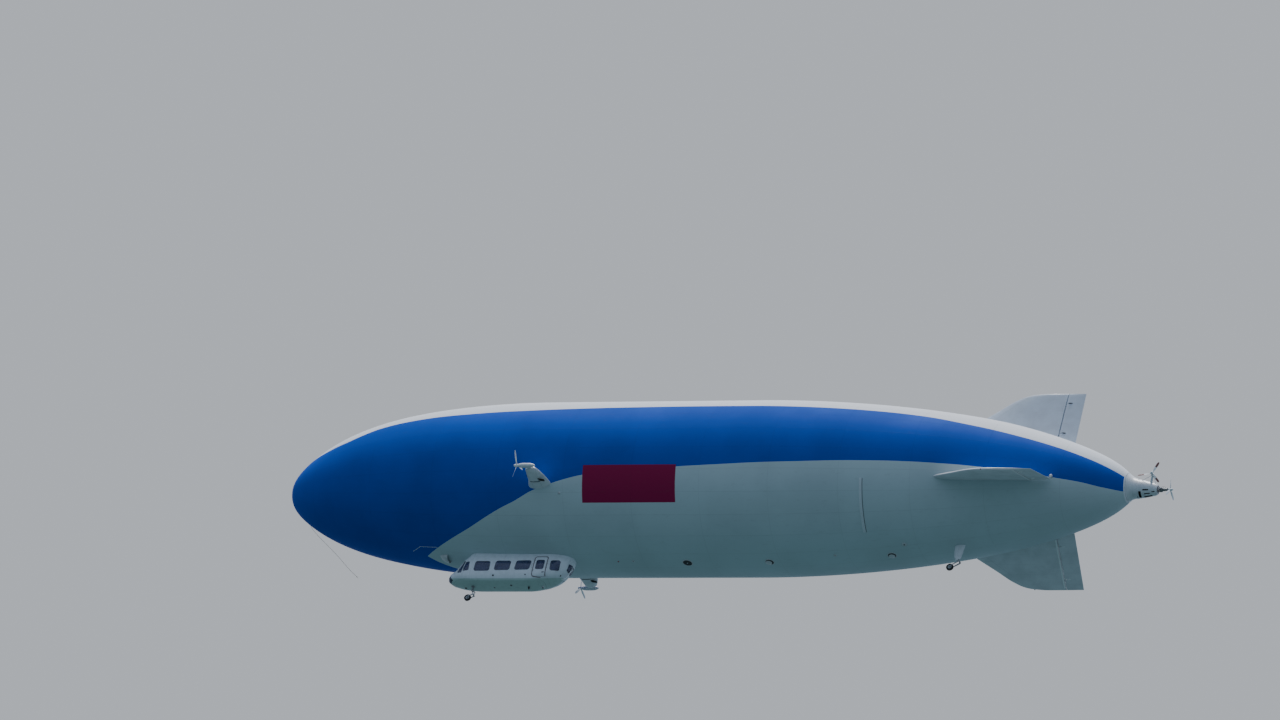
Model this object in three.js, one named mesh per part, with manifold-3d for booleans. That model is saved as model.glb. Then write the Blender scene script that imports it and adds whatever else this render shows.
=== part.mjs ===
// Airship with three engines, a 1:2 scale model. Nose towards -X, port side towards -Y, up is +Z, millimetres.
// The origin is the centre of buoyancy, on the axis of the hull.
import * as THREE from "three";
import { mergeVertices } from "three/addons/utils/BufferGeometryUtils.js";
import Module from "manifold-3d";

const wasm = await Module();
wasm.setup();

// Driving dimensions. Tables are in metres of the full-size craft: x aft of the nose tip, y to starboard, z up.
const SCALE = 500; // model millimetres per full-size metre
const BUOYANCY_X = 34.3;
const HULL_RADIUS = 7.1;
const HULL_SEGMENTS = 36;
const HULL_WALL = 10; // mm
const WALL = 10; // mm, gondola, nacelles and fairings
const GAP = 0.3; // mm, seats between pieces
const CLEAR = 8; // mm, around moving pieces
const CAP_X = 0.3;
const HULL_END = 71.2;
const HULL_STATIONS = [
  0.3, 0.7, 1.3, 2.2, 3.5, 5.2, 7.5, 10.5, 14, 18, 22.5, 28, 41, 46, 50.5, 54.5, 58, 61.2, 64, 66.4, 68.4, 69.9, 70.8,
  71.2,
];
const HINGE_X = 64.95;
const FIN_TRAIL = 66.3;
const FIN_CLOCKS = { top: 0, port: 117, stbd: -117 };
const LOWER_FIN_SHIFT = 0.1;
const POD_PIVOT = [24.2, 8.43, -3.7];
const POD_PROP_X = 23.22;
const SIDE_PROP_RADIUS = 1.3;
const STERN_PIVOT = [74.25, 0, -0.3];
const STERN_PROP_X = 75.0;
const STERN_PROP_RADIUS = 1.2;
const LATERAL_HUB = [73.65, -1.14, 0.45];
const LATERAL_PROP_RADIUS = 1.15;
const FRONT_WHEEL = [17.78, 0, -10.63];
const FRONT_WHEEL_RADIUS = 0.29;
const REAR_WHEEL = [58.18, 0, -7.74];
const REAR_WHEEL_RADIUS = 0.3;
const DOOR_X = [23.3, 24.42];
const DOOR_Z = [-9.25, -7.37];

const root = new THREE.Group();
root.name = "airship";

const at = (x, y, z) => new THREE.Vector3((x - BUOYANCY_X) * SCALE, y * SCALE, z * SCALE);

// Radius of the hull at a station, in full-size metres.
function hullRadius(x) {
  const fore = 23.479;
  const aft = 41.037;
  const trim = 0.27 * (x / 1.8) * Math.exp(1 - x / 1.8);
  if (x < fore) return HULL_RADIUS * (1 - ((fore - x) / fore) ** 2.1412) ** 0.472 - trim;
  if (x > aft) return HULL_RADIUS * (1 - ((x - aft) / 31.165) ** 1.8133) ** 0.51945 - 0.13 * tailShare(x);
  return HULL_RADIUS;
}

// 0 ahead of the tail and 1 on the last few metres of the hull.
function tailShare(x) {
  const u = Math.min(1, Math.max(0, (x - 60) / 9));
  return u * u * (3 - 2 * u);
}

// Height of the middle of a hull section: both ends hang a little below the axis.
function hullMiddle(x) {
  const nose = x < 10.5 ? -0.4 * (1 - Math.max(x, 0) / 10.5) ** 1.5 : 0;
  return nose - 0.09 * tailShare(x);
}

// Turns an indexed or plain geometry into a solid whose faces look outwards.
function solid(geometry) {
  const g = geometry.clone();
  g.deleteAttribute("normal");
  g.deleteAttribute("uv");
  const merged = mergeVertices(g, 1e-3);
  const p = merged.attributes.position;
  const tri = new Uint32Array(merged.index.array);
  const a = new THREE.Vector3();
  const b = new THREE.Vector3();
  const c = new THREE.Vector3();
  const o = new THREE.Vector3().fromBufferAttribute(p, 0);
  let volume = 0;
  for (let i = 0; i < tri.length; i += 3) {
    a.fromBufferAttribute(p, tri[i]).sub(o);
    b.fromBufferAttribute(p, tri[i + 1]).sub(o);
    c.fromBufferAttribute(p, tri[i + 2]).sub(o);
    volume += a.dot(b.cross(c));
  }
  if (volume < 0) for (let i = 0; i < tri.length; i += 3) [tri[i + 1], tri[i + 2]] = [tri[i + 2], tri[i + 1]];
  const made = new wasm.Mesh({ numProp: 3, vertProperties: new Float32Array(p.array), triVerts: tri });
  return new wasm.Manifold(made);
}

// A body over a row of rings with equal point counts; a ring of one point closes to a tip.
function skin(rings) {
  const pos = [];
  const index = [];
  const start = [];
  for (const ring of rings) {
    start.push(pos.length / 3);
    for (const p of ring) pos.push(p.x, p.y, p.z);
  }
  for (let k = 0; k + 1 < rings.length; k++) {
    const m = rings[k].length;
    const n = rings[k + 1].length;
    for (let i = 0; i < Math.max(m, n); i++) {
      const j = (i + 1) % Math.max(m, n);
      if (m === 1) index.push(start[k], start[k + 1] + i, start[k + 1] + j);
      else if (n === 1) index.push(start[k] + i, start[k + 1], start[k] + j);
      else {
        index.push(start[k] + i, start[k + 1] + i, start[k + 1] + j);
        index.push(start[k] + i, start[k + 1] + j, start[k] + j);
      }
    }
  }
  const cap = (k, flip) => {
    const ring = rings[k];
    if (ring.length < 3) return;
    const middle = ring.reduce((s, p) => s.add(p), new THREE.Vector3()).divideScalar(ring.length);
    const c = pos.length / 3;
    pos.push(middle.x, middle.y, middle.z);
    for (let i = 0; i < ring.length; i++) {
      const j = (i + 1) % ring.length;
      if (flip) index.push(c, start[k] + i, start[k] + j);
      else index.push(c, start[k] + j, start[k] + i);
    }
  };
  cap(0, true);
  cap(rings.length - 1, false);
  const g = new THREE.BufferGeometry();
  g.setAttribute("position", new THREE.Float32BufferAttribute(pos, 3));
  g.setIndex(index);
  return solid(g);
}

// A ring around the X direction.
function ringX(x, radius, n, yc = 0, zc = 0, turn = 0) {
  const out = [];
  for (let i = 0; i < n; i++) {
    const t = ((i + turn) / n) * 2 * Math.PI;
    out.push(at(x, yc + radius * Math.sin(t), zc + radius * Math.cos(t)));
  }
  return out;
}

// A turned body along X from rows of [x, radius] in full-size metres.
function turnedX(rows, n, yc = 0, zc = 0) {
  return skin(rows.map(([x, r]) => (r < 1e-6 ? [at(x, yc, zc)] : ringX(x, r, n, yc, zc))));
}

// A rod between two points, radius in full-size metres.
function rod(a, b, radius, n = 10, radiusB = radius) {
  const A = at(...a);
  const B = at(...b);
  const d = B.clone().sub(A).normalize();
  const side = Math.abs(d.z) < 0.9 ? new THREE.Vector3(0, 0, 1) : new THREE.Vector3(1, 0, 0);
  const u = side.clone().cross(d).normalize();
  const w = d.clone().cross(u);
  const ring = (o, r) =>
    Array.from({ length: n }, (_, i) => {
      const t = (i / n) * 2 * Math.PI;
      return o.clone().addScaledVector(u, Math.cos(t) * r * SCALE).addScaledVector(w, Math.sin(t) * r * SCALE);
    });
  return skin([ring(A, radius), ring(B, radiusB)]);
}

// A box between full-size limits.
function box(x0, x1, y0, y1, z0, z1) {
  const g = new THREE.BoxGeometry((x1 - x0) * SCALE, (y1 - y0) * SCALE, (z1 - z0) * SCALE);
  const m = at((x0 + x1) / 2, (y0 + y1) / 2, (z0 + z1) / 2);
  g.translate(m.x, m.y, m.z);
  return solid(g);
}

// A prism along Y whose outline is a row of [x, z] points.
function prismY(points, y0, y1) {
  const ring = (y) => points.map(([x, z]) => at(x, y, z));
  return skin([ring(y0), ring(y1)]);
}

// Corners of a rounded four-sided outline, for window and door openings.
function rounded(corners, r, steps = 2) {
  const out = [];
  const n = corners.length;
  for (let i = 0; i < n; i++) {
    const p = new THREE.Vector2(...corners[i]);
    const a = new THREE.Vector2(...corners[(i + n - 1) % n]).sub(p).normalize();
    const b = new THREE.Vector2(...corners[(i + 1) % n]).sub(p).normalize();
    const half = Math.acos(a.dot(b)) / 2;
    const reach = r / Math.tan(half);
    const c = p.clone().addScaledVector(a.clone().add(b).normalize(), r / Math.sin(half));
    const s = p.clone().addScaledVector(a, reach).sub(c);
    const e = p.clone().addScaledVector(b, reach).sub(c);
    const t0 = Math.atan2(s.y, s.x);
    let dt = Math.atan2(e.y, e.x) - t0;
    while (dt > Math.PI) dt -= 2 * Math.PI;
    while (dt < -Math.PI) dt += 2 * Math.PI;
    for (let k = 0; k <= steps; k++) {
      const t = t0 + (dt * k) / steps;
      out.push([c.x + r * Math.cos(t), c.y + r * Math.sin(t)]);
    }
  }
  return out;
}

// Moves an outline inwards (or outwards with a minus sign) by a distance in full-size metres.
function inset(points, by) {
  const n = points.length;
  let area = 0;
  for (let i = 0; i < n; i++) {
    const [x0, y0] = points[i];
    const [x1, y1] = points[(i + 1) % n];
    area += x0 * y1 - x1 * y0;
  }
  const sign = area > 0 ? 1 : -1;
  return points.map((p, i) => {
    const a = new THREE.Vector2(...points[(i + n - 1) % n]);
    const b = new THREE.Vector2(...points[(i + 1) % n]);
    const d = b.sub(a).normalize();
    return [p[0] - d.y * by * sign, p[1] + d.x * by * sign];
  });
}

const union = (...bodies) => bodies.reduce((a, b) => a.add(b));
const mirrored = (body) => body.mirror([0, 1, 0]);

const COLOURS = {
  white: 0xe8e8ee,
  grey: 0xaab0b4,
  metal: 0x8a8f94,
  black: 0x222326,
  glass: 0x2b3540,
  fabric: 0x4a5568,
  rope: 0x9a948a,
};

// Adds a finished piece to the part.
function piece(name, body, colour) {
  const got = body.getMesh();
  const pos = new Float32Array((got.vertProperties.length / got.numProp) * 3);
  for (let i = 0; i < pos.length / 3; i++)
    for (let k = 0; k < 3; k++) pos[i * 3 + k] = got.vertProperties[i * got.numProp + k];
  let g = new THREE.BufferGeometry();
  g.setAttribute("position", new THREE.BufferAttribute(pos, 3));
  g.setIndex(new THREE.BufferAttribute(new Uint32Array(got.triVerts), 1));
  g = g.toNonIndexed();
  g.computeVertexNormals();
  const mesh = new THREE.Mesh(g, new THREE.MeshStandardMaterial({ color: COLOURS[colour] }));
  mesh.name = name;
  root.add(mesh);
}

// A body of the hull's own middle line from rows of [x, radius].
function hullBody(rows, n) {
  return skin(rows.map(([x, r]) => (r < 1e-6 ? [at(x, 0, hullMiddle(x))] : ringX(x, r, n, 0, hullMiddle(x)))));
}

// Hull: the same rings outside and inside, moved along the surface normal by a distance in mm.
function hullRings(by, stations) {
  return stations.map((x) => {
    const e = 0.02;
    const slope = (hullRadius(x + e) - hullRadius(x - e)) / (2 * e);
    const len = Math.hypot(1, slope);
    return [x - (slope / len) * (by / SCALE), hullRadius(x) + (1 / len) * (by / SCALE)];
  });
}
const hullOuter = hullBody(hullRings(0, HULL_STATIONS), HULL_SEGMENTS);
const hullInnerRows = hullRings(-HULL_WALL, HULL_STATIONS);
hullInnerRows[0] = [CAP_X - 0.2, hullInnerRows[0][1]];
hullInnerRows.splice(1, 0, [hullRings(-HULL_WALL, [CAP_X])[0][0], hullInnerRows[0][1]]);
const lastInner = hullInnerRows[hullInnerRows.length - 1];
hullInnerRows.push([HULL_END + 0.2, lastInner[1]]);
const hullInner = hullBody(hullInnerRows, HULL_SEGMENTS);
const hullGrown = hullBody(hullRings(GAP + 0.05, HULL_STATIONS), HULL_SEGMENTS);
piece("envelope", hullOuter.subtract(hullInner), "white");

// Nose cap with the recessed mooring spindle.
const capR = hullRadius(CAP_X);
const noseCap = hullBody(
  [
    [0.0, 0],
    [0.004, 0.16],
    [0.03, 0.41],
    [0.1, 0.74],
    [0.2, 0.997],
    [CAP_X - 0.001, capR],
    [CAP_X - 0.001, capR - 0.06],
    [0.24, 0.93],
    [0.13, 0.56],
    [0.1, 0.25],
    [0.1, 0],
  ],
  24,
);
const spindle = rod([-0.04, 0, hullMiddle(0)], [0.3, 0, hullMiddle(0)], 0.07, 16);
piece("nose_cap", union(noseCap, spindle), "metal");

// Stern fairing, carried on the end ring of the hull, with the bulkhead for the stern engine.
const FAIRING = [
  [HULL_END + 0.001, hullMiddle(HULL_END), hullRadius(HULL_END)],
  [71.5, -0.1, 1.23],
  [71.8, -0.12, 1.0],
  [72.1, -0.17, 0.85],
  [72.4, -0.23, 0.79],
];
const fairingBody = (by, rows) => skin(rows.map(([x, z, r]) => ringX(x, r - by / SCALE, 24, 0, z)));
const fairingInner = fairingBody(WALL, [
  [HULL_END - 0.1, hullMiddle(HULL_END), hullRadius(HULL_END)],
  ...FAIRING.slice(1),
]).subtract(box(72.32, 73, -2, 2, -2, 2));
const bulkheadHole = turnedX([[72, 0.42], [73, 0.42]], 20, 0, -0.25);
piece("stern_fairing", fairingBody(0, FAIRING).subtract(fairingInner).subtract(bulkheadHole), "white");
const sternEngine = box(71.52, 72.32 - GAP / SCALE, -0.42, 0.42, -0.52, -0.02);
piece("stern_engine", sternEngine, "metal");

// Stern nacelle with a fork for the tilting gearbox.
const NACELLE = [
  [72.4 + GAP / SCALE, -0.23, 0.77],
  [72.7, -0.24, 0.73],
  [73.1, -0.26, 0.65],
  [73.5, -0.28, 0.56],
  [73.9, -0.31, 0.45],
  [74.0, -0.32, 0.36],
];
const nacelleBody = (by, rows) => skin(rows.map(([x, z, r]) => ringX(x, r - by / SCALE, 24, 0, z)));
const nacelleHollow = nacelleBody(WALL, [[72.3, -0.23, 0.75], ...NACELLE.slice(1, 5), [73.96, -0.32, 0.38]]);
let sternNacelle = nacelleBody(0, NACELLE).subtract(nacelleHollow);
for (const y of [-0.23, 0.18]) {
  const lug = union(
    box(73.93, STERN_PIVOT[0], y, y + 0.05, -0.4, -0.2),
    rod([STERN_PIVOT[0], y, -0.3], [STERN_PIVOT[0], y + 0.05, -0.3], 0.1, 20),
  );
  sternNacelle = sternNacelle.add(lug);
}
const sternPin = rod([STERN_PIVOT[0], -0.26, -0.3], [STERN_PIVOT[0], 0.26, -0.3], 0.04, 20);
const sternBore = rod([STERN_PIVOT[0], -0.5, -0.3], [STERN_PIVOT[0], 0.5, -0.3], 0.042, 20);
sternNacelle = sternNacelle.subtract(sternBore);
// Cooling slots on the lower port side and the air outlet underneath.
const SLOTS = [
  [72.58, 72.74, -1, -0.82, -0.6],
  [72.86, 73.2, -1, -0.62, -0.5],
  [73.3, 73.62, -1, -0.76, -0.68],
  [73.68, 73.86, -1, -0.6, -0.44],
];
for (const [x0, x1, y0, z0, z1] of SLOTS) sternNacelle = sternNacelle.subtract(box(x0, x1, y0, -0.15, z0, z1));
sternNacelle = sternNacelle.subtract(box(72.95, 73.6, -0.22, 0.22, -1.2, -0.6));
piece("stern_nacelle", sternNacelle, "white");

const gearbox = union(
  rod([STERN_PIVOT[0], -0.15, -0.3], [STERN_PIVOT[0], 0.15, -0.3], 0.15, 24),
  turnedX([[74.25, 0.12], [74.6, 0.13], [74.8, 0.1]], 20, 0, -0.3),
  sternPin,
).subtract(turnedX([[74.7, 0.036], [74.9, 0.036]], 16, 0, -0.3));
piece("stern_gearbox", gearbox, "metal");

// A blade section: rounded front, thin rear, turned by the pitch.
function bladeRing(axis, span, origin, r, chord, thick, pitch) {
  const shape = [
    [-0.5, 0],
    [-0.3, 0.46],
    [0.1, 0.44],
    [0.5, 0.05],
    [0.5, -0.05],
    [0.1, -0.36],
    [-0.3, -0.42],
  ];
  const side = axis.clone().cross(span);
  const c = Math.cos(pitch);
  const s = Math.sin(pitch);
  return shape.map(([a, b]) => {
    const u = a * chord * c - b * thick * s;
    const w = a * chord * s + b * thick * c;
    const p = origin.clone().addScaledVector(span, r * SCALE);
    return p.addScaledVector(side, u * SCALE).addScaledVector(axis, w * SCALE);
  });
}

// A propeller with three blades; axis is the direction in which its spinner points.
function propeller(hub, axis, zero, radius, angles, hubRadius, hubBack, tip, pin) {
  const o = at(...hub);
  const other = axis.clone().cross(zero);
  const along = (d) => [hub[0] + axis.x * d, hub[1] + axis.y * d, hub[2] + axis.z * d];
  let body = rod(along(-hubBack), along(0.1), hubRadius, 18);
  body = body.add(rod(along(0.1 - 0.002), along(0.1 + tip * 0.6), hubRadius, 18, hubRadius * 0.62));
  body = body.add(rod(along(0.1 + tip * 0.6 - 0.002), along(0.1 + tip), hubRadius * 0.62, 18, hubRadius * 0.12));
  body = body.add(rod(along(-hubBack - pin), along(0), 0.034, 16));
  for (const deg of angles) {
    const t = (deg * Math.PI) / 180;
    const span = zero.clone().multiplyScalar(Math.cos(t)).addScaledVector(other, Math.sin(t));
    const rows = [
      [hubRadius * 0.5, 0.075, 0.06, 0.95],
      [0.24 * radius, 0.12, 0.045, 0.8],
      [0.45 * radius, 0.18, 0.028, 0.52],
      [0.8 * radius, 0.18, 0.017, 0.32],
      [radius, 0.08, 0.007, 0.25],
    ];
    body = body.add(skin(rows.map(([r, c, h, p]) => bladeRing(axis, span, o, r, c, h, p))));
  }
  return body;
}

const X = new THREE.Vector3(1, 0, 0);
const Y = new THREE.Vector3(0, 1, 0);
piece(
  "stern_propeller",
  propeller([STERN_PROP_X, 0, -0.3], X, Y, STERN_PROP_RADIUS, [114, -9, 249 - 15], 0.11, 0.17, 0.14, 0.12),
  "white",
);

// Outrigger with the lateral propeller.
const [lx, ly, lz] = LATERAL_HUB;
const arm = union(
  rod([73.42, -0.3, 0.02], [lx, ly + 0.26, lz], 0.11, 14, 0.09),
  rod([lx, ly + 0.36, lz], [lx, ly + 0.12, lz], 0.13, 18),
  rod([72.45, -0.5, 0.06], [lx - 0.03, ly + 0.28, lz + 0.03], 0.022, 8),
  rod([73.85, -0.12, -0.02], [lx + 0.03, ly + 0.28, lz + 0.03], 0.02, 8),
)
  .subtract(nacelleBody(-GAP - 0.05, [[72.2, -0.23, 0.82], NACELLE[0], ...NACELLE.slice(1)]))
  .subtract(rod([lx, ly + 0.3, lz], [lx, ly, lz], 0.036, 16));
piece("lateral_arm", arm, "white");
piece(
  "lateral_propeller",
  propeller(LATERAL_HUB, Y.clone().negate(), X, LATERAL_PROP_RADIUS, [70, 190, 310], 0.1, 0.1, 0.12, 0.12),
  "white",
);

// Fins. Rows: distance from the hull axis, leading edge x, greatest half thickness, half thickness at the hinge.
const FIN_ROWS = [
  [3.6, 54.21, 0.3, 0.17],
  [5.85, 57.15, 0.28, 0.145],
  [7.5, 59.3, 0.22, 0.12],
  [8.57, 60.7, 0.17, 0.1],
  [9.02, 61.76, 0.13, 0.085],
  [9.15, 62.8, 0.06, 0.05],
];
const FIN_SHAPE = [
  [0.015, 0.3],
  [0.06, 0.58],
  [0.16, 0.85],
  [0.36, 1],
  [0.65, 0.86],
];
function finFrame(clock) {
  const t = (clock * Math.PI) / 180;
  const dx = clock === 0 ? 0 : LOWER_FIN_SHIFT;
  return (x, R, s) => at(x + dx, -R * Math.sin(t) + s * Math.cos(t), R * Math.cos(t) + s * Math.sin(t));
}
const finHalf = (R) => {
  for (let i = 0; i + 1 < FIN_ROWS.length; i++) {
    const a = FIN_ROWS[i];
    const b = FIN_ROWS[i + 1];
    if (R <= b[0]) return a[3] + ((b[3] - a[3]) * (R - a[0])) / (b[0] - a[0]);
  }
  return FIN_ROWS[FIN_ROWS.length - 1][3];
};
const BRACKETS = [5.21, 8.18];
for (const [name, clock] of Object.entries(FIN_CLOCKS)) {
  const f = finFrame(clock);
  const rings = FIN_ROWS.map(([R, lead, most, hinge]) => {
    const end = HINGE_X - hinge - CLEAR / SCALE;
    const ring = [f(lead, R, 0)];
    for (const [u, h] of FIN_SHAPE) ring.push(f(lead + (end - lead) * u, R, h * most));
    ring.push(f(end, R, hinge));
    ring.push(f(end, R, -hinge));
    for (const [u, h] of [...FIN_SHAPE].reverse()) ring.push(f(lead + (end - lead) * u, R, -h * most));
    return ring;
  });
  let fin = skin(rings).subtract(hullGrown);
  // Control surface with a round nose about its hinge line.
  const surfaceRows = [3.7, 5.85, 7.5, 8.57, 9.02, 9.15];
  const noseSteps = 6;
  const surfaceRings = surfaceRows.map((R) => {
    const h = finHalf(R);
    const ring = [];
    for (let i = 0; i <= noseSteps; i++) {
      const t = (0.5 + i / noseSteps) * Math.PI;
      ring.push(f(HINGE_X + h * Math.cos(t), R, h * Math.sin(t)));
    }
    ring.push(f(FIN_TRAIL, R, -0.012));
    ring.push(f(FIN_TRAIL, R, 0.012));
    return ring;
  });
  const below = [
    [63.5, 3],
    [67, 3],
    [67, 3.78],
    [FIN_TRAIL, 3.98],
    [64.74, 4.45],
    [63.5, 4.8],
  ];
  const under = skin([-2, 2].map((s) => below.map(([x, R]) => f(x, R, s))));
  let surface = skin(surfaceRings).subtract(under);
  for (const R of BRACKETS) {
    const h = finHalf(R);
    const slab = (x0, x1, r0, r1, s) =>
      skin([-s, s].map((q) => [f(x0, r0, q), f(x1, r0, q), f(x1, r1, q), f(x0, r1, q)]));
    const disc = (radius, r0, r1, n) =>
      skin(
        [r0, r1].map((r) =>
          Array.from({ length: n }, (_, i) => {
            const t = (i / n) * 2 * Math.PI;
            return f(HINGE_X + radius * Math.cos(t), r, radius * Math.sin(t));
          }),
        ),
      );
    surface = surface.subtract(slab(HINGE_X - 0.3, HINGE_X + 0.1, R - 0.045, R + 0.045, 0.4));
    surface = surface.add(disc(0.03, R - 0.05, R + 0.05, 16));
    const lug = union(
      slab(HINGE_X - h - 0.2, HINGE_X, R - 0.028, R + 0.028, h * 0.55),
      disc(h * 0.55, R - 0.028, R + 0.028, 16),
    ).subtract(disc(0.032, R - 0.1, R + 0.1, 16));
    fin = fin.add(lug);
  }
  piece("fin_" + name, fin, "white");
  piece("control_surface_" + name, surface, "white");
}

// Side nacelles. Rows: y, leading edge x, trailing edge x, half thickness.
const STUB_ROWS = [
  [5.4, 23.3, 25.45, 0.37],
  [6.1, 23.46, 25.34, 0.36],
  [6.7, 23.64, 25.24, 0.35],
  [7.3, 23.74, 25.08, 0.335],
  [7.9, 23.82, 24.82, 0.28],
  [8.1, 23.9, 24.68, 0.2],
  [8.15, 24.0, 24.5, 0.12],
];
const STUB_SHAPE = [
  [0, 0.1],
  [0.03, 0.5],
  [0.12, 0.85],
  [0.32, 1],
  [0.6, 0.94],
  [0.85, 0.6],
  [1, 0.16],
];
const STUB_Z = -3.72;
function stub(by) {
  const d = by / SCALE;
  return skin(
    STUB_ROWS.map(([y, lead, trail, half]) => {
      const shape = [
        ...STUB_SHAPE.map(([u, h]) => [u, h]),
        ...[...STUB_SHAPE].reverse().map(([u, h]) => [u, -h]),
      ];
      const yy = y - (y > 8 ? d : 0);
      const scale = (half - d) / half;
      return shape.map(([u, h]) => at(lead + d + (trail - lead - 2 * d) * u, yy, STUB_Z + h * half * scale));
    }),
  );
}
const BLOCK = { x: [23.9, 24.5], y: [6.62, 7.4], z: [STUB_Z - 0.235, STUB_Z + 0.235] };
let stubShell = stub(0).subtract(hullGrown).subtract(stub(WALL));
const bore = rod([POD_PIVOT[0], 7.9, POD_PIVOT[2]], [POD_PIVOT[0], 8.3, POD_PIVOT[2]], 0.0808, 32);
stubShell = stubShell.subtract(bore);
// Bearers that carry the engine block.
for (const y of [6.84, 7.24]) {
  const bearer = box(BLOCK.x[0], BLOCK.x[1], y, y + 0.06, -4.2, BLOCK.z[0] - GAP / SCALE);
  stubShell = stubShell.add(bearer.intersect(stub(1)));
}
stubShell = stubShell.subtract(box(23.85, 24.8, 6.66, 6.76, -4.4, -4.0));
piece("nacelle_stbd", stubShell, "white");
piece("nacelle_port", mirrored(stubShell), "white");
const block = box(...BLOCK.x, ...BLOCK.y, ...BLOCK.z);
piece("engine_stbd", block, "metal");
piece("engine_port", mirrored(block), "metal");

// Tilting pods with the side propellers.
const [px, py, pz] = POD_PIVOT;
const pod = union(
  turnedX([[23.42, 0.15], [23.55, 0.18], [23.8, 0.2], [24.3, 0.195], [24.6, 0.14], [24.8, 0.04]], 16, py, pz),
  rod([px, 8.15 + CLEAR / SCALE, pz], [px, py, pz], 0.15, 20),
  rod([px, 8.06, pz], [px, py, pz], 0.08, 32),
).subtract(turnedX([[23.3, 0.036], [23.56, 0.036]], 16, py, pz));
piece("pod_stbd", pod, "white");
piece("pod_port", mirrored(pod), "white");
const fore = X.clone().negate();
const sideProp = (angles) =>
  propeller([POD_PROP_X, py, pz], fore, Y, SIDE_PROP_RADIUS, angles, 0.13, 0.17, 0.16, 0.12);
piece("propeller_stbd", sideProp([6, -114, 126]), "white");
piece("propeller_port", mirrored(sideProp([-158, -38, 82])), "white");

// Gondola. Levels from the belly up: z, half width, x of the nose, length of the nose curve, x of the tail,
// length of the tail curve, share of the wall thickness by which the inside rises.
const CABIN_LEVELS = [
  [-9.56, 0.47, 18.2, 1.0, 22.9, 0.9, 1],
  [-9.5, 0.77, 17.2, 1.6, 23.6, 1.0, 1],
  [-9.4, 0.88, 16.48, 1.9, 24.1, 1.15, 0.9],
  [-9.25, 0.97, 16.02, 2.0, 24.6, 1.3, 0.6],
  [-9.05, 1.05, 15.81, 2.0, 25.15, 1.5, 0.3],
  [-8.85, 1.09, 15.8, 1.95, 25.5, 1.6, 0],
  [-8.5, 1.118, 16.2, 1.45, 25.85, 1.8, 0],
  [-8.15, 1.125, 16.42, 1.4, 26.05, 1.95, 0],
  [-7.7, 1.11, 16.64, 1.3, 26.2, 2.05, 0],
  [-7.25, 1.03, 16.93, 1.12, 26.32, 2.1, 0],
  [-6.6, 0.86, 17.3, 1.0, 26.4, 2.1, 0],
];
const NOSE_STEPS = 7;
const TAIL_STEPS = 5;
function cabinBody(by) {
  const d = by / SCALE;
  return skin(
    CABIN_LEVELS.map(([z, w, x0, noseLength, x1, tailLength, rise]) => {
      const half = [];
      for (let i = 0; i <= NOSE_STEPS; i++) {
        const t = (i / NOSE_STEPS) * (Math.PI / 2);
        half.push([x0 + d * 1.15 + noseLength * (1 - Math.cos(t)), (w - d) * Math.sin(t)]);
      }
      for (let i = TAIL_STEPS; i >= 0; i--) {
        const t = (i / TAIL_STEPS) * (Math.PI / 2);
        half.push([x1 - d * 1.2 - tailLength * (1 - Math.cos(t)), (w - d) * Math.sin(t) ** 0.75]);
      }
      const up = z + d * rise;
      const ring = half.map(([x, y]) => at(x, y, up));
      for (const [x, y] of half.slice(1, -1).reverse()) ring.push(at(x, -y, up));
      return ring;
    }),
  );
}
const hullRoof = turnedX(hullRings(GAP + 0.05 + WALL, HULL_STATIONS), HULL_SEGMENTS);
const cabinOuter = cabinBody(0).subtract(hullGrown);
const cabinInner = cabinBody(WALL).subtract(hullRoof);
const shell = cabinOuter.subtract(cabinInner);

// Window outlines in side view, [x, z] corners.
const SIDE_WINDOWS = [
  [[18.2, -8.75], [19.55, -8.74], [19.48, -7.83], [18.22, -7.83]],
  [[19.95, -8.69], [21.27, -8.68], [21.29, -7.8], [20.0, -7.8]],
  [[21.71, -8.67], [22.98, -8.63], [23.06, -7.76], [21.77, -7.79]],
];
const PILOT_WINDOW = [[17.24, -8.74], [17.74, -8.68], [17.68, -7.86], [17.38, -7.86]];
const CORNER_WINDOW = [[16.78, -8.83], [17.13, -8.86], [17.28, -7.74], [17.12, -7.7]];
const AFT_WINDOW = [[24.74, -8.66], [25.45, -8.57], [25.47, -7.66], [24.7, -7.76]];
const DOOR_WINDOW = [[23.5, -8.61], [24.2, -8.61], [24.2, -7.72], [23.5, -7.72]];
// Window outlines in front and rear view, [y, z] corners.
const SCREEN_WINDOW = [[0.05, -8.5], [0.66, -8.5], [0.55, -7.5], [0.05, -7.46]];
const CHIN_WINDOW = [[0.07, -9.29], [0.5, -9.27], [0.6, -8.98], [0.07, -8.98]];
const TAIL_WINDOW = [[0.05, -8.3], [0.4, -8.26], [0.5, -7.74], [0.05, -7.64]];
const DOOR = rounded(
  [
    [DOOR_X[0], DOOR_Z[0]],
    [DOOR_X[1], DOOR_Z[0] + 0.04],
    [DOOR_X[1], DOOR_Z[1]],
    [DOOR_X[0], DOOR_Z[1]],
  ],
  0.2,
  4,
);
// A prism along X whose outline is a row of [y, z] points.
function prismX(points, x0, x1) {
  const ring = (x) => points.map(([y, z]) => at(x, y, z));
  return skin([ring(x0), ring(x1)]);
}
const through = (outline, y0 = 0.2, y1 = 1.5) => prismY(outline, y0, y1);
const bothSides = (body) => body.add(mirrored(body));
const OPENINGS = {
  side: SIDE_WINDOWS.map((c) => [rounded(c, 0.18), (o) => through(o)]),
  nose: [
    [rounded(PILOT_WINDOW, 0.08), (o) => through(o)],
    [rounded(CORNER_WINDOW, 0.05), (o) => through(o, 0.6)],
    [rounded(SCREEN_WINDOW, 0.08), (o) => prismX(o, 15.4, 17.3)],
    [rounded(CHIN_WINDOW, 0.06), (o) => prismX(o, 15.4, 16.6)],
  ],
  tail: [
    [rounded(AFT_WINDOW, 0.16), (o) => through(o)],
    [rounded(TAIL_WINDOW, 0.06), (o) => prismX(o, 25.2, 27)],
  ],
};
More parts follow.
